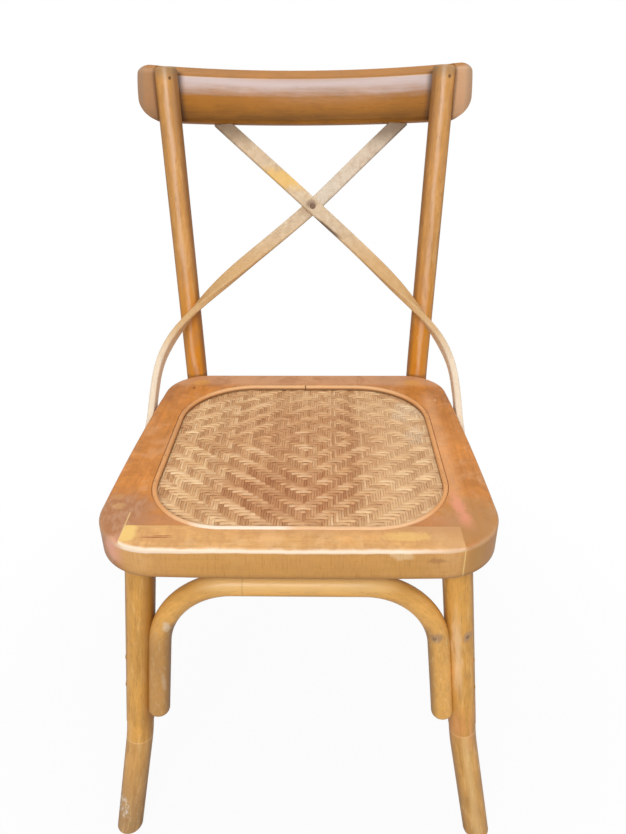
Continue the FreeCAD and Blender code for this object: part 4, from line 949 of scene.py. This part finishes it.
class CHAIR_OT_finish_arches(MakingOperator):
    """Finish the bent arches under the seat"""

    bl_idname = "chair.finish_arches"
    bl_label = "Finish arches"

    def execute(self, context):
        front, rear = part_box("front_arch_left"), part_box("rear_arch")
        drop = ARCH_Z - ARCH_END_Z
        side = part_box("side_arch_right")
        side_middle = (side[0].y + side[1].y) / 2
        side_half = (side[1].y - side[0].y) / 2
        for names, lengthwise, half, slope in (
            (("front_arch_left", "front_arch_right"), False, -front[0].x, LEG_SLOPE[0]),
            (("rear_arch",), False, rear[1].x, REAR_LEG_SLOPE[0]),
            (("side_arch_left", "side_arch_right"), True, side_half, SIDE_ARCH_SLOPE),
        ):
            finish = Finish(f"Arch wood {names[0]}")
            x, y, z = finish.place
            run, beside = x, y + z * ARCH_RAKE
            if lengthwise:
                run, beside = y - side_middle, abs(x)
            half = half - ARCH_RADIUS - slope * drop
            grain = arch_grain(finish, run, beside, half, slope)
            colour, rough, height = wood(finish, grain, self.woods.arch, 0.72, 1.2, 1.1)
            inward = half + (ARCH_Z - z) * slope - abs(run)
            down = z.fall(0.33, 0.35)
            cross = run.near(0.085, 0.13) * z.fade(0.36, 0.37)
            patches = [
                # Painted shade on the inner side of each arch's down-legs
                (down * inward.fade(0.003, 0.0125), 0.6, (120, 84, 46)),
                # Painted highlight along the crosspiece's top, and painted shade under it
                (cross * z.fade(0.384, 0.395), 0.55, (244, 204, 138)),
                (cross * z.fall(0.376, 0.383), 0.5, (170, 116, 52)),
            ]
            if names[0] == "front_arch_left":
                spot = finish.front_spot
                left, right = x.fall(-0.1, -0.09), x.fade(0.09, 0.1)
                chips = finish.grit((240, 240, 70), 4.0, 0.7)
                patches += [
                    (left * z.fall(0.31, 0.35), 0.55, (156, 112, 66)),
                    (left * down * chips.fade(0.52, 0.7), 0.35, (206, 174, 132)),
                    # Painted shade, deeper, on the inner side of the left down-leg
                    (left * down * inward.fade(0.008, 0.016), 0.6, (112, 86, 68)),
                    (spot(-0.1465, 0.341, 0.0055, 0.009, 1.4, 0.0), 0.6, (222, 202, 176)),
                    (spot(-0.1565, 0.262, 0.003, 0.018, 1.4, 0.0), 0.4, (210, 184, 152)),
                    (spot(0.153, 0.3285, 0.0085, 0.009, 1.0, 0.0), 0.65, (136, 110, 96)),
                    (spot(0.1515, 0.327, 0.003, 0.0028, 0.8), 0.6, (84, 62, 52)),
                    (right * chips.fade(0.54, 0.7) * down, 0.35, (236, 198, 140)),
                    ((x + 0.06).near(0.0003, 0.001), 0.3, (140, 96, 48)),
                ]
            dress(finish.finish(finish.patches(colour, patches), rough, height, 0.0002, 0.15), *names)
        return {"FINISHED"}


class CHAIR_OT_finish_small_parts(MakingOperator):
    """Finish the board, dowels, plugs, screws and glides"""

    bl_idname = "chair.finish_small_parts"
    bl_label = "Finish small parts"

    def execute(self, context):
        for label, tone, names in (
            ("Plywood", (96, 62, 36), ("seat_backing_board",)),
            ("Dowel wood", (214, 180, 132), (
                "seat_corner_dowels", "front_leg_splice_dowels", "front_arch_dowel")),
            ("Plug wood", (196, 144, 86), ("rail_plugs", "post_plugs")),
        ):
            finish = Finish(label)
            colour, rough, height = wood(finish, (finish.x, finish.z, finish.y), paint(*tone))
            dress(finish.finish(colour, rough, height, 0.0002, 0.1), *names)
        # Heads in sight are dulled: wax over the crossing's, lacquer over the legs'
        for label, dull, wear_and_highlight, rough, metal, names in (
            ("Zinc plated steel", (120, 112, 100), (186, 180, 168), 0.25, 1.0, (
                "strap_end_screws", "rail_screws", "post_bolts", "backing_screws")),
            ("Waxed steel", (108, 82, 64), (150, 120, 96), 0.45, 0.15, ("cross_screw",)),
            ("Lacquered steel", (160, 108, 48), (204, 152, 84), 0.45, 0.15, (
                "leg_to_arch_screws", "arch_to_leg_screws")),
        ):
            finish = Finish(label)
            grime = finish.grit((300, 300, 300), 4.0, 0.6)
            colour = finish.ramp(grime, [(0.3, paint(*dull)), (0.7, paint(*wear_and_highlight))])
            dress(finish.finish(colour, grime * 0.3 + rough, grime, 0.0001, 0.0, metal), *names)
        finish = Finish("Nylon")
        scuffs = finish.grit((500, 500, 120), 4.0, 0.6)
        colour = finish.ramp(scuffs, [(0.3, paint(34, 31, 29)), (0.75, paint(78, 72, 66))])
        dress(finish.finish(colour, scuffs * 0.3 + 0.45, scuffs, 0.0002), "foot_glides")
        return {"FINISHED"}


class CHAIR_OT_set_stage(MakingOperator):
    """Set the pale floor, the soft light and the camera"""

    bl_idname = "chair.set_stage"
    bl_label = "Set stage"

    def execute(self, context):
        stage = bpy.context.scene.chair_stage
        self.make_floor(stage)
        self.make_world(stage)
        self.make_lamps(stage)
        self.make_camera(stage)
        bpy.context.scene.view_settings.view_transform = "Standard"
        return {"FINISHED"}

    def make_floor(self, stage):
        half = 12.0
        mesh = bpy.data.meshes.new("floor")
        corners = [(-half, -half, 0), (half, -half, 0), (half, half, 0), (-half, half, 0)]
        mesh.from_pydata(corners, [], [(0, 1, 2, 3)])
        floor = placed("floor", mesh)
        nodes = Finish("Floor")
        ray = nodes.number("LightPath", output="Is Camera Ray")
        matt = nodes.node("BsdfDiffuse", None, {"Color": (*stage.floor, 1.0)})
        glow = nodes.node("Emission", None, {"Color": WHITE, "Strength": 1.0})
        away = (nodes.x ** 2.0 + nodes.y ** 2.0).root()
        seen = ray * (0.94 + 0.06 * away.fade(0.3, 0.8))
        both = nodes.node("MixShader", None, {0: seen, 1: matt.outputs[0], 2: glow.outputs[0]})
        nodes.node("OutputMaterial", None, {"Surface": both.outputs[0]})
        mesh.materials.append(nodes.material)

    def make_world(self, stage):
        world = bpy.data.worlds.new("Soft light")
        bpy.context.scene.world = world
        world.use_nodes = True
        nodes = Nodes(world.node_tree)
        paths = nodes.node("LightPath").outputs
        camera = Value(nodes, paths["Is Camera Ray"]).above(Value(nodes, paths["Is Transmission Ray"]))
        glossy = Value(nodes, paths["Is Glossy Ray"])
        up = nodes.split(nodes.node("TexCoord").outputs["Generated"])[2]
        soft = (up.fade(-0.1, 0.75) * 0.75 + 0.25) * stage.sky
        strength = camera + (1.0 - camera) * (soft + glossy * (0.6 - soft) * 0.5)
        sky = nodes.node("Background", None, {"Color": WHITE, "Strength": strength})
        nodes.node("OutputWorld", None, {"Surface": sky.outputs[0]})

    def make_lamps(self, stage):
        target = Vector((0.0, 0.0, 0.55))
        for name, place, width, height, power in (
            ("main_lamp", (-0.35, -2.15, 1.9), 1.1, 0.9, stage.lamp),
            ("fill_lamp", (2.0, -0.4, 1.6), 1.2, 1.2, stage.lamp * 0.18),
            ("rear_lamp", (0.2, 0.9, 3.0), 1.6, 1.0, stage.lamp * 0.25),
        ):
            data = bpy.data.lights.new(name, "AREA")
            data.shape = "RECTANGLE"
            data.size, data.size_y, data.energy = width, height, power
            lamp = placed(name, data)
            lamp.location = place
            lamp.rotation_mode = "QUATERNION"
            lamp.rotation_quaternion = (Vector(place) - target).to_track_quat("Z", "Y")

    def make_camera(self, stage):
        data = bpy.data.cameras.new("camera")
        data.sensor_fit = "HORIZONTAL"
        data.sensor_width = 36.0
        data.lens = stage.lens
        camera = placed("camera", data)
        turn, roll = CAMERA_TURN, CAMERA_ROLL
        flat = math.cos(stage.tilt)
        ahead = Vector((math.sin(turn) * flat, math.cos(turn) * flat, -math.sin(stage.tilt)))
        level = Vector((math.cos(turn), -math.sin(turn), 0.0))
        upward = level.cross(ahead)
        right = level * math.cos(roll) + upward * math.sin(roll)
        up = upward * math.cos(roll) - level * math.sin(roll)
        look = Matrix((right, up, -ahead)).transposed().to_4x4()
        camera.matrix_world = Matrix.Translation(stage.camera) @ look
        bpy.context.scene.camera = camera


class CHAIR_PT_panel(bpy.types.Panel):
    """Chair's operators and settings"""

    bl_idname = "CHAIR_PT_panel"
    bl_label = "Cross back chair"
    bl_space_type = "VIEW_3D"
    bl_region_type = "UI"
    bl_category = "Chair"

    def draw(self, context):
        scene = context.scene
        for settings in (scene.chair_woods, scene.chair_weave, scene.chair_stage):
            box = self.layout.box()
            for name in settings.__annotations__:
                box.prop(settings, name)
        for operator in OPERATORS:
            self.layout.operator(operator.bl_idname)


SETTINGS = (("chair_woods", ChairWoods), ("chair_weave", ChairWeave), ("chair_stage", ChairStage))
OPERATORS = (
    CHAIR_OT_set_stage, CHAIR_OT_finish_rail, CHAIR_OT_finish_posts, CHAIR_OT_finish_straps,
    CHAIR_OT_finish_seat_frame, CHAIR_OT_finish_bead, CHAIR_OT_weave_seat, CHAIR_OT_finish_legs,
    CHAIR_OT_finish_arches, CHAIR_OT_finish_small_parts,
)


def register():
    for name, group in SETTINGS:
        bpy.utils.register_class(group)
        setattr(bpy.types.Scene, name, bpy.props.PointerProperty(type=group))
    for operator in OPERATORS:
        bpy.utils.register_class(operator)
    bpy.utils.register_class(CHAIR_PT_panel)


def unregister():
    bpy.utils.unregister_class(CHAIR_PT_panel)
    for operator in reversed(OPERATORS):
        bpy.utils.unregister_class(operator)
    for name, group in reversed(SETTINGS):
        delattr(bpy.types.Scene, name)
        bpy.utils.unregister_class(group)


def main():
    register()
    for operator in OPERATORS:
        getattr(bpy.ops.chair, operator.bl_idname.split(".")[1])()


if __name__ == "__main__":
    main()
